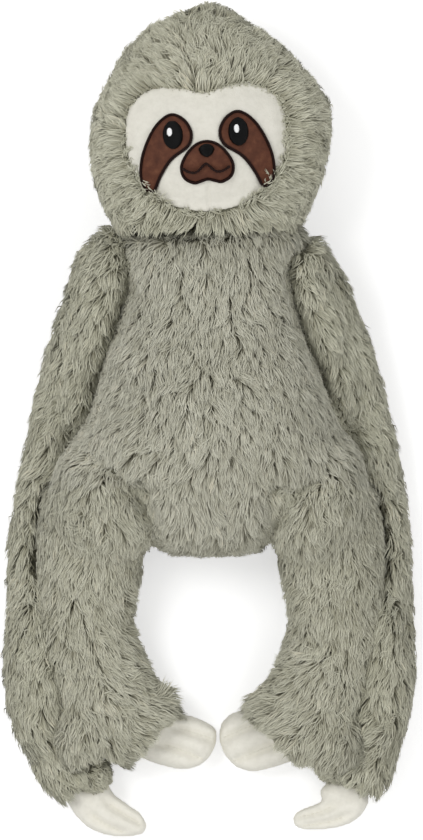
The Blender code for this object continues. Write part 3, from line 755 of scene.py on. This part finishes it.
def makeHead(skin, bodyTree):
    rides = ["torso", "head", *neckSpan]
    for part, sign in sides.items():
        def weight(places, normals):
            return headWeight(places, normals) * (places[:, 0] * sign > 0) * (1 - buried(places, [bodyTree]))
        furOn("head_pile_" + part, skin, headFlow, weight, rides, length=0.95, gatherShare=0.95, lockSize=0.95,
              wander=1.35)
    # Shorter hairs stand every way at the rim of the face and lie over its edge
    furOn("head_pile_rim", skin, rimFlow, rimWeight, ["head"], length=0.50, gatherShare=0.6, lockSize=0.6,
          wander=3.0, trim=rimTrim)
    # Longer ones cover the lower tips of the eye patches
    furOn("head_pile_tips", skin, rimFlow, tipWeight, ["head"], length=0.80, gatherShare=0.6, lockSize=0.6,
          wander=2.0, liftShare=1.75)
    dressed(skin, 0.8, rides, "head_cover", "head_filling")


# Limbs

def jointPlace(name):
    return Vector([joint for joint in frame["joints"] if joint["name"] == name][0]["pos_m"])


def flatHeading(start, end):
    step = end - start
    step.z = 0
    return step.normalized()


def capTurn(normals, heading):
    # On the blunt end of a sleeve or leg the pile hangs down
    down = np.zeros_like(normals)
    down[:, 2] = -np.clip(normals @ np.array(heading), 0, 1)
    return down


def endTrim(places, pivot, heading):
    # Shorter where the cloth turns in to the hand or foot
    past = (places - np.array(pivot)) @ np.array(heading)
    return 1 - 0.45 * np.clip((past + 0.009) / 0.006, 0, 1)


def makeLeg(side, form, formTree, foot):
    cover, filling = legNodes(side)
    low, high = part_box(cover)
    middle = (low + high) / 2
    # A narrower copy runs on into the torso, so that a lifted leg stays joined to it
    into = narrowed((middle.x, hipY, 0.030), 0.010, 0.86)
    pads = [hipPads[side], heelPads[side]]
    skin = creased(shrunk(formOf("leg_skin_" + side, [cover, filling], 0.0024, 18, [into], pads), 0.0064))
    pivot = jointPlace("ankle_" + side)
    knee = hipY - 0.070
    hipRides = ["torso", "leg_" + side, (0, hipY + 0.010, 0.066), (0, hipY - 0.035, 0.066)]
    ankleRides = ["leg_" + side, "foot_" + side]
    heading = flatHeading(Vector((middle.x, low.y + 0.03, 0)), centreOf("foot_cover_" + side))
    across = np.array((heading.y, -heading.x, 0)) * sides[side]

    def flow(places, normals):
        # Down the leg, and round towards the foot on its inner side
        inward = np.clip(0.6 - (places[:, 0] - middle.x) * sides[side] / 0.045, 0, 1)
        share = (np.clip((knee + 0.02 - places[:, 1]) / 0.06, 0, 1) * inward)[:, None]
        down = np.array([sides[side] * 0.06, -1, 0])
        return down * (1 - share) + np.array(heading) * share + capTurn(normals, heading)

    def legWeight(places, normals):
        weight = seen(places, normals) * isLeg(places) * (places[:, 0] * sides[side] > 0)
        return weight * (1 - buried(places, [foot], -0.0006))

    def innerWeight(places, normals):
        return (places[:, 1] > knee) * buried(places, [formTree], 0.0042)

    def trim(places):
        # Longest at the inner corner, where it hangs over the foot
        away = places - np.array(pivot)
        corner = np.clip((away @ across - 0.010) / 0.010, 0, 1)
        corner = corner * np.clip((away @ np.array(heading) + 0.022) / 0.010, 0, 1)
        return endTrim(places, pivot, heading) * (1 + 0.7 * corner)

    def upperWeight(places, normals):
        return legWeight(places, normals) * (places[:, 1] > knee)

    def lowerWeight(places, normals):
        return legWeight(places, normals) * (places[:, 1] <= knee)

    furOn("leg_pile_upper_" + side, form, flow, upperWeight, hipRides)
    furOn("leg_pile_inner_" + side, skin, flow, innerWeight, hipRides, thickness=0.6, length=0.5)
    ankleRides += [pivot - heading * 0.004, pivot + heading * 0.008]
    furOn("leg_pile_lower_" + side, form, flow, lowerWeight, ankleRides, trim=trim)
    dressed(skin, 0.7, hipRides, cover, filling)
def makeArmForm(side):
    # The sleeve is full at the shoulder, which hangs lower on the left, and again above the wrist
    shoulder = {"right": (0.054, 0.088), "left": (0.051, 0.081)}[side]
    pads = [((sides[side] * shoulder[0], shoulder[1], 0.043), (0.024, 0.030, 0.024)),
            ((sides[side] * 0.063, 0.058, 0.040), (0.019, 0.036, 0.021)),
            ((sides[side] * 0.072, 0.022, 0.034), (0.018, 0.040, 0.018)),
            ((sides[side] * 0.1040, -0.146, 0.024), (0.0195, 0.056, 0.020)),
            cuffPads[side]]
    nodes = ["arm_cover_" + side, "arm_filling_" + side]
    form = shrunk(formOf("arm_skin_" + side, nodes, 0.0022, 20, pads=pads), 0.0042)
    corner = {"right": (pi - 0.6435, 0.118), "left": (0.6435, 0.112)}[side]
    return pressed(sloped(form, *corner), creases["sleeves"], 0.020)


def makeArm(side, skin, bodyTree, headTree, hand):
    cover = "arm_cover_" + side
    low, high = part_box(cover)
    pivot = jointPlace("wrist_" + side)
    shoulder = jointPlace("shoulder_" + side)
    heading = flatHeading(pivot, centreOf("hand_cover_" + side))
    elbow = (low.y + high.y) / 2
    spots = spotsOf(skin.data).astype(float)
    stations = np.linspace(low.y, high.y, 24)
    centres = np.array([spots[np.abs(spots[:, 1] - y) < 0.012, 0].mean() for y in stations])

    def flow(places, normals):
        # Along the sleeve's middle line, fanning out from it, and round to the hand at its end
        here = np.interp(places[:, 1], stations, centres)
        direction = np.zeros_like(places)
        direction[:, 0] = np.interp(places[:, 1] - 0.012, stations, centres) - here
        direction[:, 1] = -0.012
        share = np.clip((pivot.y + 0.03 - places[:, 1]) / 0.03, 0, 1)[:, None]
        direction = unit(direction) * (1 - share) + np.array(heading) * share
        direction[:, 0] += (places[:, 0] - here) * 8
        return direction + capTurn(normals, heading)

    def trim(places):
        # Short, too, where the leg lies over the cuff
        return endTrim(places, pivot, heading) * (1 - 0.5 * buried(places, [bodyTree], -0.003))

    def upperTrim(places):
        # Short where the sleeve is sunk in the body's side
        return 1 - 0.55 * buried(places, [bodyTree], 0.0015)

    def upperWeight(places, normals):
        free = (1 - 0.4 * buried(places, [bodyTree])) * (1 - buried(places, [headTree]))
        return seen(places, normals) * (places[:, 1] > elbow) * free

    def lowerWeight(places, normals):
        return seen(places, normals) * (places[:, 1] <= elbow) * (1 - buried(places, [hand], -0.0006))

    shoulderRides = ["torso", "arm_" + side, (0, shoulder.y, 0), (0, shoulder.y - 0.036, 0)]
    wristRides = ["arm_" + side, "hand_" + side, pivot + heading * 0.002, pivot + heading * 0.016]
    furOn("arm_pile_upper_" + side, skin, flow, upperWeight, shoulderRides, trim=upperTrim)
    furOn("arm_pile_lower_" + side, skin, flow, lowerWeight, wristRides, trim=trim)
    dressed(skin, 0.7, shoulderRides, cover, "arm_filling_" + side)


# The face
pile = {
    "panelSink": 0.0016,  # under the head's form
    "rimDrop": 0.0044,
    "rimWidth": 0.0110,
    "seamDepth": 0.0013,
    "seamHalf": 0.0009,
}
patches = {
    "eyeShares": ((-0.20, 1), (-0.72, 0.86), (-1, 0.50), (-0.86, 0.14), (-0.20, -0.20), (0.22, -0.62),
                  (0.48, -0.98), (0.84, -0.90), (1, -0.50), (0.86, 0.06), (0.40, 0.68)),
    "eyePlace": (0.0244, -0.0005),
    "eyeSize": (0.0330, 0.0470),
    "muzzleShares": ((0, 1), (0.40, 0.86), (0.76, 0.44), (1, -0.16), (0.90, -0.72), (0.52, -1), (0.22, -0.93),
                     (0, -0.86)),
    "muzzlePlace": (0, -0.0072),
    "muzzleSize": (0.0330, 0.0264),
    "thickness": 0.0010,
    "edge": 0.0016,
    "spacing": 0.0011,
    "skirt": 0.0012,
}
eyes = {
    "place": (0.0197, 0.0100),
    "size": (0.0120, 0.0168),
    "highlightShift": (-0.0014, 0.0015),
    "highlightSize": (0.0033, 0.0048),
    "rise": 0.0013,
}
nose = {
    "shares": ((0, 1), (0.60, 0.90), (1, 0.30), (0.72, -0.52), (0, -1)),
    "place": (0, -0.0006),
    "size": (0.0092, 0.0076),
    "rise": 0.0016,
}
mouth = {
    "shares": ((-1, 0.10), (-0.78, -0.72), (-0.46, -1), (-0.18, 0.20), (0, 1), (0.18, 0.20), (0.46, -1),
               (0.78, -0.72), (1, 0.10)),
    "place": (-0.0008, -0.0104),
    "size": (0.0270, 0.0050),
    "pitch": 0.0017,
    "radius": 0.00092,
    "rise": 0.0007,
    "base": 0.0006,
}
satin = {"pitch": 0.00040, "radius": 0.00026, "fillRadius": 0.00028, "sides": 5}


def distanceTo(points, loop):
    # From each place to the nearest edge of a closed outline
    starts = np.array([tuple(p) for p in loop])
    ends = np.roll(starts, -1, axis=0)
    along = ends - starts
    best = np.full(len(points), 1e9)
    for start, step in zip(starts, along):
        away = points - start
        share = np.clip((away @ step) / max(step @ step, 1e-12), 0, 1)
        best = np.minimum(best, np.linalg.norm(away - share[:, None] * step, axis=1))
    return best


def insideOf(points, loop):
    inside = np.zeros(len(points), bool)
    count = len(loop)
    for i in range(count):
        a, b = loop[i], loop[(i + 1) % count]
        crosses = (a.y > points[:, 1]) != (b.y > points[:, 1])
        with np.errstate(divide="ignore", invalid="ignore"):
            edge = (b.x - a.x) * (points[:, 1] - a.y) / ((b.y - a.y) or 1e-12) + a.x
        inside ^= crosses & (points[:, 0] < edge)
    return inside


def filledOutline(loop, spacing):
    # Even triangles that fill an outline
    flat = np.array([tuple(p) for p in loop])
    low, high = flat.min(0), flat.max(0)
    lattice = []
    rows = int((high[1] - low[1]) / (spacing * sqrt(3) / 2)) + 2
    for row in range(rows):
        y = low[1] + row * spacing * sqrt(3) / 2
        for column in range(int((high[0] - low[0]) / spacing) + 2):
            lattice.append((low[0] + (column + 0.5 * (row % 2)) * spacing, y))
    lattice = np.array(lattice)
    keep = insideOf(lattice, loop) & (distanceTo(lattice, loop) > spacing * 0.55)
    spots = [Vector(p) for p in flat] + [Vector(p) for p in lattice[keep]]
    edges = [(i, (i + 1) % len(flat)) for i in range(len(flat))]
    verts, _, faces, *_ = delaunay_2d_cdt(spots, edges, [], 1, 1e-7)
    return np.array([tuple(v) for v in verts]), faces


def drape(x, y):
    # The place on the head's form under x, y, and its normal
    place, normal, _, _ = headSurface.ray_cast(Vector((x, y, 1)), Vector((0, 0, -1)))
    if place is None:
        place, normal, _, _ = headSurface.find_nearest(Vector((x, y, headHigh.z * 0.7)))
    return place, normal


def smoothNormal(x, y):
    # The mean of the form's normals round a place
    total = Vector((0, 0, 0))
    for dx, dy in ((0, 0), (0.002, 0), (-0.002, 0), (0, 0.002), (0, -0.002)):
        total += drape(x + dx, y + dy)[1]
    return total.normalized()


def drapedSheet(name, loop, spacing, height, skirt, finish):
    # An outline laid on the head, height(points, distances) above it, with its rim turned down
    flat, faces = filledOutline(loop, spacing)
    rise = height(flat, distanceTo(flat, loop))
    bm = bmesh.new()
    verts = [bm.verts.new(drape(x, y)[0] + smoothNormal(x, y) * up) for (x, y), up in zip(flat, rise)]
    for face in faces:
        bm.faces.new([verts[i] for i in face])
    bmesh.ops.recalc_face_normals(bm, faces=bm.faces)
    if sum(face.normal.z for face in bm.faces) < 0:
        bmesh.ops.reverse_faces(bm, faces=bm.faces)
    rim = [edge for edge in bm.edges if edge.is_boundary]
    for item in bmesh.ops.extrude_edge_only(bm, edges=rim)["geom"]:
        if isinstance(item, bmesh.types.BMVert):
            item.co -= smoothNormal(item.co.x, item.co.y) * skirt
    return pieceFrom(name, bm, finish)
def tube(bm, spots, ups, radius, count):
    # A thread along spots with drawn-in ends
    rings = []
    last = len(spots) - 1
    for i, spot in enumerate(spots):
        along = (spots[min(i + 1, last)] - spots[max(i - 1, 0)]).normalized()
        across = along.cross(ups[i]).normalized()
        up = across.cross(along)
        size = radius * (0.55 if i in (0, last) else 1)
        rings.append([bm.verts.new(spot + (across * cos(2 * pi * k / count) + up * sin(2 * pi * k / count)) * size)
                      for k in range(count)])
    for first, second in zip(rings, rings[1:]):
        for k in range(count):
            bm.faces.new((first[k], second[k], second[(k + 1) % count], first[(k + 1) % count]))
    bm.faces.new(rings[0])
    bm.faces.new(rings[-1][::-1])


def stitches(name, lines, rise, slot, radius=satin["radius"], steps=5, base=0.0):
    # Each line is a stitch from one flat place to another, which arches over the head's form
    bm = bmesh.new()
    for start, end in lines:
        spots = []
        ups = []
        for i in range(steps):
            share = i / (steps - 1)
            x, y = Vector(start).lerp(Vector(end), share)
            ups.append(smoothNormal(x, y))
            arch = sqrt(max(1 - (2 * share - 1) ** 2, 0))
            spots.append(drape(x, y)[0] + ups[-1] * (base + rise * arch))
        tube(bm, spots, ups, radius * random.uniform(0.9, 1.1), satin["sides"])
    bmesh.ops.recalc_face_normals(bm, faces=bm.faces)
    return pieceFrom(name, bm, threads[slot])
def evenSteps(loop, pitch, closed=True):
    # Places along an outline at an even pitch, with the direction there
    points = list(loop) + ([loop[0]] if closed else [])
    lengths = [0.0]
    for a, b in zip(points, points[1:]):
        lengths.append(lengths[-1] + (b - a).length)
    count = int(lengths[-1] / pitch)
    result = []
    j = 0
    for i in range(count + (0 if closed else 1)):
        want = lengths[-1] * i / count
        while lengths[j + 1] < want - 1e-12 and j < len(lengths) - 2:
            j += 1
        share = (want - lengths[j]) / max(lengths[j + 1] - lengths[j], 1e-9)
        result.append((points[j].lerp(points[j + 1], share), (points[j + 1] - points[j]).normalized()))
    return result


def edgeStitches(loop, length):
    # Satin stitches side by side across an outline, a little aslant
    lines = []
    for spot, along in evenSteps(loop, satin["pitch"]):
        across = Vector((-along.y, along.x)) + along * random.uniform(0.10, 0.30)
        across = across.normalized() * length / 2 * random.uniform(0.92, 1.08)
        lines.append((spot - across, spot + across))
    return lines


def fillStitches(loop, pitch, turn):
    # Satin stitches from side to side of an outline, at right angles to turn
    back = Matrix.Rotation(-turn, 2)
    forth = Matrix.Rotation(turn, 2)
    points = [back @ p for p in loop]
    low = min(p.y for p in points)
    high = max(p.y for p in points)
    lines = []
    for i in range(int((high - low) / pitch)):
        y = low + (i + 0.5) * pitch
        crossings = []
        for a, b in zip(points, points[1:] + points[:1]):
            if (a.y > y) != (b.y > y):
                crossings.append(a.x + (b.x - a.x) * (y - a.y) / (b.y - a.y))
        if len(crossings) >= 2:
            shake = random.normal(0, 0.00010)
            left, right = min(crossings) - shake, max(crossings) + shake
            lines.append((forth @ Vector((left, y)), forth @ Vector((right, y))))
    return lines


def insetOutline(loop, amount):
    area = sum(a.x * b.y - a.y * b.x for a, b in zip(loop, loop[1:] + loop[:1]))
    inward = 1 if area > 0 else -1
    result = []
    for i, point in enumerate(loop):
        along = (loop[(i + 1) % len(loop)] - loop[i - 1]).normalized()
        result.append(point + Vector((-along.y, along.x)) * amount * inward)
    return result


def ovalOutline(place, size, count=40):
    turns = [2 * pi * i / count for i in range(count)]
    return [faceSpot(place[0] + cos(turn) * size[0] / 2, place[1] + sin(turn) * size[1] / 2) for turn in turns]


def outlineAt(place, shares, size, steps):
    return [faceSpot(place[0] + p.x, place[1] + p.y) for p in outlineOf(shares, *size, steps)]


def domed(share):
    # A quarter round, from 0 at an edge to 1
    return np.sqrt(1 - (1 - share) ** 2)


def lumpy(points, scale, seed):
    return np.array([noise.noise(Vector((x * scale, y * scale, seed))) for x, y in points])


def panelHeight(points, distances):
    share = np.clip(distances / pile["rimWidth"], 0, 1)
    rise = -pile["panelSink"] - pile["rimDrop"] * (1 - domed(share))
    rise += lumpy(points, 70, 4.0) * 0.0006
    turned = (points - np.array(face["centre"])) @ np.array([[cos(tilt), -sin(tilt)], [sin(tilt), cos(tilt)]])
    # The seam runs down the chin, between two slight swellings
    under = np.clip((-0.0195 - turned[:, 1]) / 0.003, 0, 1)
    rise -= under * pile["seamDepth"] * np.exp(-(turned[:, 0] / pile["seamHalf"]) ** 2)
    swell = np.exp(-(turned[:, 0] / (5 * pile["seamHalf"])) ** 2)
    return rise + under * 0.0004 * swell


def patchHeight(points, distances):
    share = np.clip(distances / 0.0016, 0, 1)
    top = patches["thickness"] * domed(share)
    return top - pile["panelSink"] + lumpy(points, 160, 8.0) * 0.00015


def velourFinish(name, tint):
    def shade(extra, blue=225):
        return linear(*(c * tint + extra for c in (240, 237, blue)))

    finish = Finish(name, linear(236, 233, 222), 0.85, 0.2)
    mottle = finish.noise(260, 4, 0.6)
    finish.feed("Base Color", finish.ramp(mottle, ((0.30, shade(-6)), (0.52, shade(0)), (0.72, shade(4, 226)))))
    fine = finish.noise(2600, 2, 0.7)
    nap = finish.noise(420, 3, 0.6)
    finish.bump(fine * 0.7 + nap * 0.9, 0.00035, 0.6)
    return finish.material


def feltFinish():
    finish = Finish("brown felt", linear(88, 51, 34), 0.75)
    mottle = finish.noise(170, 4, 0.6)
    finish.feed("Base Color", finish.ramp(mottle, ((0.30, linear(68, 36, 23)), (0.55, linear(86, 49, 33)),
                                                   (0.75, linear(104, 65, 45)))))
    finish.bump(finish.noise(2200, 3, 0.7), 0.0003, 0.6)
    return finish.material


def threadFinish(name, colour, roughness):
    finish = Finish(name, colour, roughness)
    finish.shader.inputs["Specular IOR Level"].default_value = 0.12
    return finish.material


velour = velourFinish("short pile", 0.98)
# The face has the same short pile as the mitts, made darker all over: a painted shade on the face
shadedFaceVelour = velourFinish("short pile of the face in painted shade", 0.94)
felt = feltFinish()
threads = {
    "dark_brown_thread": threadFinish("dark brown thread", linear(26, 9, 6), 0.6),
    "black_thread": threadFinish("black thread", linear(3, 3, 3), 0.45),
    "white_thread": threadFinish("white thread", linear(246, 246, 246), 0.4),
    "pale_grey_thread": threadFinish("pale grey thread", linear(232, 229, 217), 0.8),
}


def ridesHead(item, *nodes):
    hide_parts(*nodes)
    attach(item, "head")


def makePatch(name, ending, nodes, loop):
    # A field of felt with satin stitches round its edge
    field = drapedSheet(name + "_felt" + ending, insetOutline(loop, 0.0004), patches["spacing"], patchHeight,
                        patches["skirt"], felt)
    ridesHead(field, nodes[0])
    lines = edgeStitches(insetOutline(loop, patches["edge"] / 2), patches["edge"] * 1.15)
    edge = stitches(name + "_stitches" + ending, lines, 0.0012, "dark_brown_thread", base=-0.0010)
    ridesHead(edge, nodes[1])


def makeFace():
    wider = [face["centre"] + (p - face["centre"]) * 1.035 for p in faceOutline]
    panel = drapedSheet("face_short_pile", wider, 0.0014, panelHeight, 0.001, shadedFaceVelour)
    ridesHead(panel, "face_panel")
    for side, sign in sides.items():
        shares = [(x * sign, y) for x, y in patches["eyeShares"]]
        patchPlace = (sign * patches["eyePlace"][0], patches["eyePlace"][1])
        makePatch("eye_patch", "_" + side, ["eye_patch_" + side, "eye_patch_edging_" + side],
                  outlineAt(patchPlace, shares, patches["eyeSize"], 6))
        place = (sign * eyes["place"][0], eyes["place"][1])
        lines = fillStitches(ovalOutline(place, eyes["size"]), satin["pitch"], tilt)
        eye = stitches("eye_stitches_" + side, lines, eyes["rise"], "black_thread", satin["fillRadius"], 11,
                       -0.0004)
        ridesHead(eye, "eye_" + side)
        lightPlace = (place[0] + eyes["highlightShift"][0], place[1] + eyes["highlightShift"][1])
        lines = fillStitches(ovalOutline(lightPlace, eyes["highlightSize"], 24), satin["pitch"] * 0.9, tilt)
        light = stitches("highlight_stitches_" + side, lines, 0.0008, "white_thread", steps=7, base=0.0008)
        ridesHead(light, "eye_highlight_" + side)
    loop = outlineAt(patches["muzzlePlace"], mirroredHalf(patches["muzzleShares"]), patches["muzzleSize"], 6)
    makePatch("muzzle", "", ["muzzle_patch", "muzzle_edging"], loop)
    loop = outlineAt(nose["place"], mirroredHalf(nose["shares"]), nose["size"], 5)
    lines = fillStitches(loop, satin["pitch"], tilt)
    threaded = stitches("nose_stitches", lines, nose["rise"], "black_thread", satin["fillRadius"], 9, -0.0004)
    ridesHead(threaded, "nose")
    half = [Vector((x * mouth["size"][0] / 2, y * mouth["size"][1] / 2)) for x, y in mouth["shares"]]
    path = [faceSpot(mouth["place"][0] + p.x, mouth["place"][1] + p.y) for p in openCurve(half, 6)]
    ends = [spot for spot, _ in evenSteps(path, mouth["pitch"], closed=False)]
    line = stitches("mouth_stitches", zip(ends, ends[1:]), mouth["rise"], "dark_brown_thread", mouth["radius"],
                    base=mouth["base"])
    ridesHead(line, "mouth_stitching")


# Hands and feet: soft mitts, with two seams that part three fingers or toes

mitts = {
    # Seen from above, in millimetres: the outline, the two grooves, the depth and how far the edge is round
    "foot_right": {
        "outline": ((-22, -175), (-9, -178), (2.5, -184), (4.6, -191), (1.5, -201), (-7, -208.5), (-18, -210),
                    (-30, -207.5), (-42, -203), (-53, -197), (-56, -187), (-44, -176), (-32, -170)),
        "grooves": (((-26, -184), (-12, -187), (3, -192)), ((-38, -193), (-20, -197), (-4, -204))),
        "depth": 24.0, "round": 11.5,
    },
    "foot_left": {
        "outline": ((24, -173), (13.5, -176), (7.2, -182), (5.6, -190), (7.8, -199), (15, -208), (26, -211.5),
                    (39, -209), (53, -204), (63, -198), (66, -187), (54, -174), (38, -169)),
        "grooves": (((38, -180), (24, -184), (8, -191)), ((48, -192), (33, -197), (14, -205))),
        "depth": 24.0, "round": 11.5,
    },
    "hand_right": {
        "outline": ((-86, -230), (-80, -239), (-72, -246), (-61, -250), (-49, -250.6), (-40.5, -249),
                    (-37.8, -244),
                    (-41, -237), (-49, -231), (-57, -225), (-63, -218), (-78, -216), (-89, -221)),
        "grooves": (((-66, -226), (-56, -234), (-43, -242)), ((-76, -232), (-66, -241), (-52, -248))),
        "depth": 19.5, "round": 9.5,
    },
    "hand_left": {
        "outline": ((67, -222), (67, -229), (59, -232.5), (52, -236), (50.2, -241), (53.5, -245.6),
                    (63, -246.6),
                    (77, -245.4), (88, -241), (95, -233), (96, -225), (92, -215), (78, -212)),
        "grooves": (((80, -228), (68, -235), (53, -239)), ((88, -235), (74, -241), (56, -244.5))),
        "depth": 19.5, "round": 9.5,
    },
}


groove = {"depth": 0.0026, "narrow": 0.0019, "wide": 0.0048, "fade": 0.35}
seam = {"pitch": 0.0024, "radius": 0.00028, "points": 5, "start": 0.12, "share": 0.76}


def makeMitt(kind, side, seamNodes):
    spec = mitts[kind + "_" + side]
    loop = [Vector(p) / 1000 for p in smoothLoop(spec["outline"], 8)]
    flat, faces = filledOutline(loop, 0.0013)
    half = spec["depth"] / 2000
    share = np.clip(distanceTo(flat, loop) / (spec["round"] / 1000), 0, 1)
    rise = half * domed(share)
    top = rise * (1 + 0.05 * lumpy(flat, 90, 2.0))
    paths = [openCurve([Vector(p) / 1000 for p in line], 8) for line in spec["grooves"]]
    for path in paths:
        gap, along = lineDistance(flat, [tuple(p) for p in path])
        depth = np.clip(along / groove["fade"], 0, 1) * np.clip(share * 2.5, 0, 1)
        for width in (groove["narrow"], groove["wide"]):
            top -= depth * groove["depth"] * np.exp(-(gap / width) ** 2)
    bm = bmesh.new()
    edge = len(loop)
    upper = [bm.verts.new((x, y, half + z)) for (x, y), z in zip(flat, top)]
    lower = [upper[i] if i < edge else bm.verts.new((x, y, half - z * 0.96))
             for i, ((x, y), z) in enumerate(zip(flat, rise))]
    for face in faces:
        bm.faces.new([upper[i] for i in face])
        bm.faces.new([lower[i] for i in reversed(face)])
    bmesh.ops.recalc_face_normals(bm, faces=bm.faces)
    bmesh.ops.smooth_vert(bm, verts=bm.verts, factor=0.5, use_axis_x=True, use_axis_y=True, use_axis_z=True)
    tree = BVHTree.FromBMesh(bm)
    item = pieceFrom(kind + "_short_pile_" + side, bm, velour)
    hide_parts(kind + "_cover_" + side, kind + "_filling_" + side)
    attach(item, kind + "_" + side)
    for place, path in zip(("outer", "inner"), paths):
        item = seamOf(seamNodes + "_seam_" + place + "_" + side, path[len(path) // 3:], tree)
        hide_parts(seamNodes + "_stitching_" + place + "_" + side)
        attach(item, kind + "_" + side)
    return tree


def seamOf(name, path, tree):
    # Running stitches along a groove
    bm = bmesh.new()
    last = seam["points"] - 1
    spots = [spot for spot, _ in evenSteps(path, seam["pitch"], closed=False)]
    for start, end in zip(spots, spots[1:]):
        points = []
        for i in range(seam["points"]):
            x, y = start.lerp(end, seam["start"] + seam["share"] * i / last)
            hit = tree.ray_cast(Vector((x, y, 1)), Vector((0, 0, -1)))[0]
            if hit is not None:
                points.append(hit + Vector((0, 0, 0.0003 * sin(pi * i / last) - 0.0001)))
        if len(points) == seam["points"]:
            tube(bm, points, [Vector((0, 0, 1))] * len(points), seam["radius"], satin["sides"])
    bmesh.ops.recalc_face_normals(bm, faces=bm.faces)
    return pieceFrom(name, bm, threads["pale_grey_thread"])
bodyForm = makeBodyForm()
headForm = makeHeadForm()
headSurface = treeOf(headForm)
shrunk(headForm, 0.0045)
armForms = {side: makeArmForm(side) for side in sides}
bodyTree = treeOf(bodyForm)
headTree = treeOf(headForm)
armTrees = [treeOf(form) for form in armForms.values()]
print("forms made")
makeTorso(bodyForm, bodyTree, headTree, armTrees)
print("torso made")
makeHead(headForm, bodyTree)
makeFace()
print("head made")
for side in sides:
    hand = makeMitt("hand", side, "finger")
    foot = makeMitt("foot", side, "toe")
    makeLeg(side, bodyForm, bodyTree, foot)
    makeArm(side, armForms[side], bodyTree, headTree, hand)
    print("limbs made:", side)
bpy.data.objects.remove(bodyForm)


# Where it lies, and its light

def shownRay(tree):
    # 1 for what the camera sees, also in a gloss or through glass
    path = tree.nodes.new("ShaderNodeLightPath")
    camera, glossy, through = (Socket(tree, path.outputs[name])
                               for name in ("Is Camera Ray", "Is Glossy Ray", "Is Transmission Ray"))
    return camera.math("MAXIMUM", glossy).math("MAXIMUM", through)


def floorFinish():
    # To the camera the floor is nearly white, with the toy's soft shadow still on it
    finish = Finish("floor", (0.80, 0.80, 0.80), 0.9)
    finish.shader.inputs["Specular IOR Level"].default_value = 0.1
    finish.feed("Emission Color", finish.mix(shownRay(finish.tree), (0, 0, 0, 1), (1, 1, 1, 1)))
    finish.shader.inputs["Emission Strength"].default_value = 0.48
    return finish.material


def addFloor():
    bm = bmesh.new()
    bmesh.ops.create_grid(bm, x_segments=1, y_segments=1, size=3)
    pieceFrom("floor", bm, floorFinish())


def addLamp(name, place, target, size, power):
    data = bpy.data.lights.new(name, "AREA")
    data.shape = "DISK"
    data.size = size
    data.energy = power
    lamp = bpy.data.objects.new(name, data)
    bpy.context.scene.collection.objects.link(lamp)
    lamp.location = place
    lamp.rotation_euler = (Vector(target) - Vector(place)).to_track_quat("-Z", "Y").to_euler()


def addWorld():
    world = bpy.data.worlds.new("studio")
    bpy.context.scene.world = world
    world.use_nodes = True
    tree = world.node_tree
    light = tree.nodes["Background"]
    shown = tree.nodes.new("ShaderNodeBackground")
    for background, strength in ((light, 0.50), (shown, 1)):
        background.inputs["Color"].default_value = (1, 1, 1, 1)
        background.inputs["Strength"].default_value = strength
    either = tree.nodes.new("ShaderNodeMixShader")
    tree.links.new(shownRay(tree).output, either.inputs[0])
    tree.links.new(light.outputs[0], either.inputs[1])
    tree.links.new(shown.outputs[0], either.inputs[2])
    tree.links.new(either.outputs[0], tree.nodes["World Output"].inputs["Surface"])


def addCamera():
    # Straight above, and so far away that the toy is seen nearly without perspective
    data = bpy.data.cameras.new("camera")
    data.lens = 600
    data.sensor_width = 36
    data.clip_end = 40
    camera = bpy.data.objects.new("camera", data)
    bpy.context.scene.collection.objects.link(camera)
    frameHeight, facing = 0.504, 0.05
    camera.location = (0.0012, 0.0006, frameHeight * data.lens / data.sensor_width + facing)
    bpy.context.scene.camera = camera


addFloor()
addWorld()
middle = (0, 0, 0.03)
addLamp("key", (-0.9, 0.5, 1.6), middle, 0.9, 13.5)
addLamp("fill", (1.2, 0.3, 1.3), middle, 1.2, 6)
addLamp("low", (0.1, -1.4, 1.0), middle, 1.0, 5)
addCamera()
bpy.context.scene.view_settings.view_transform = "Standard"

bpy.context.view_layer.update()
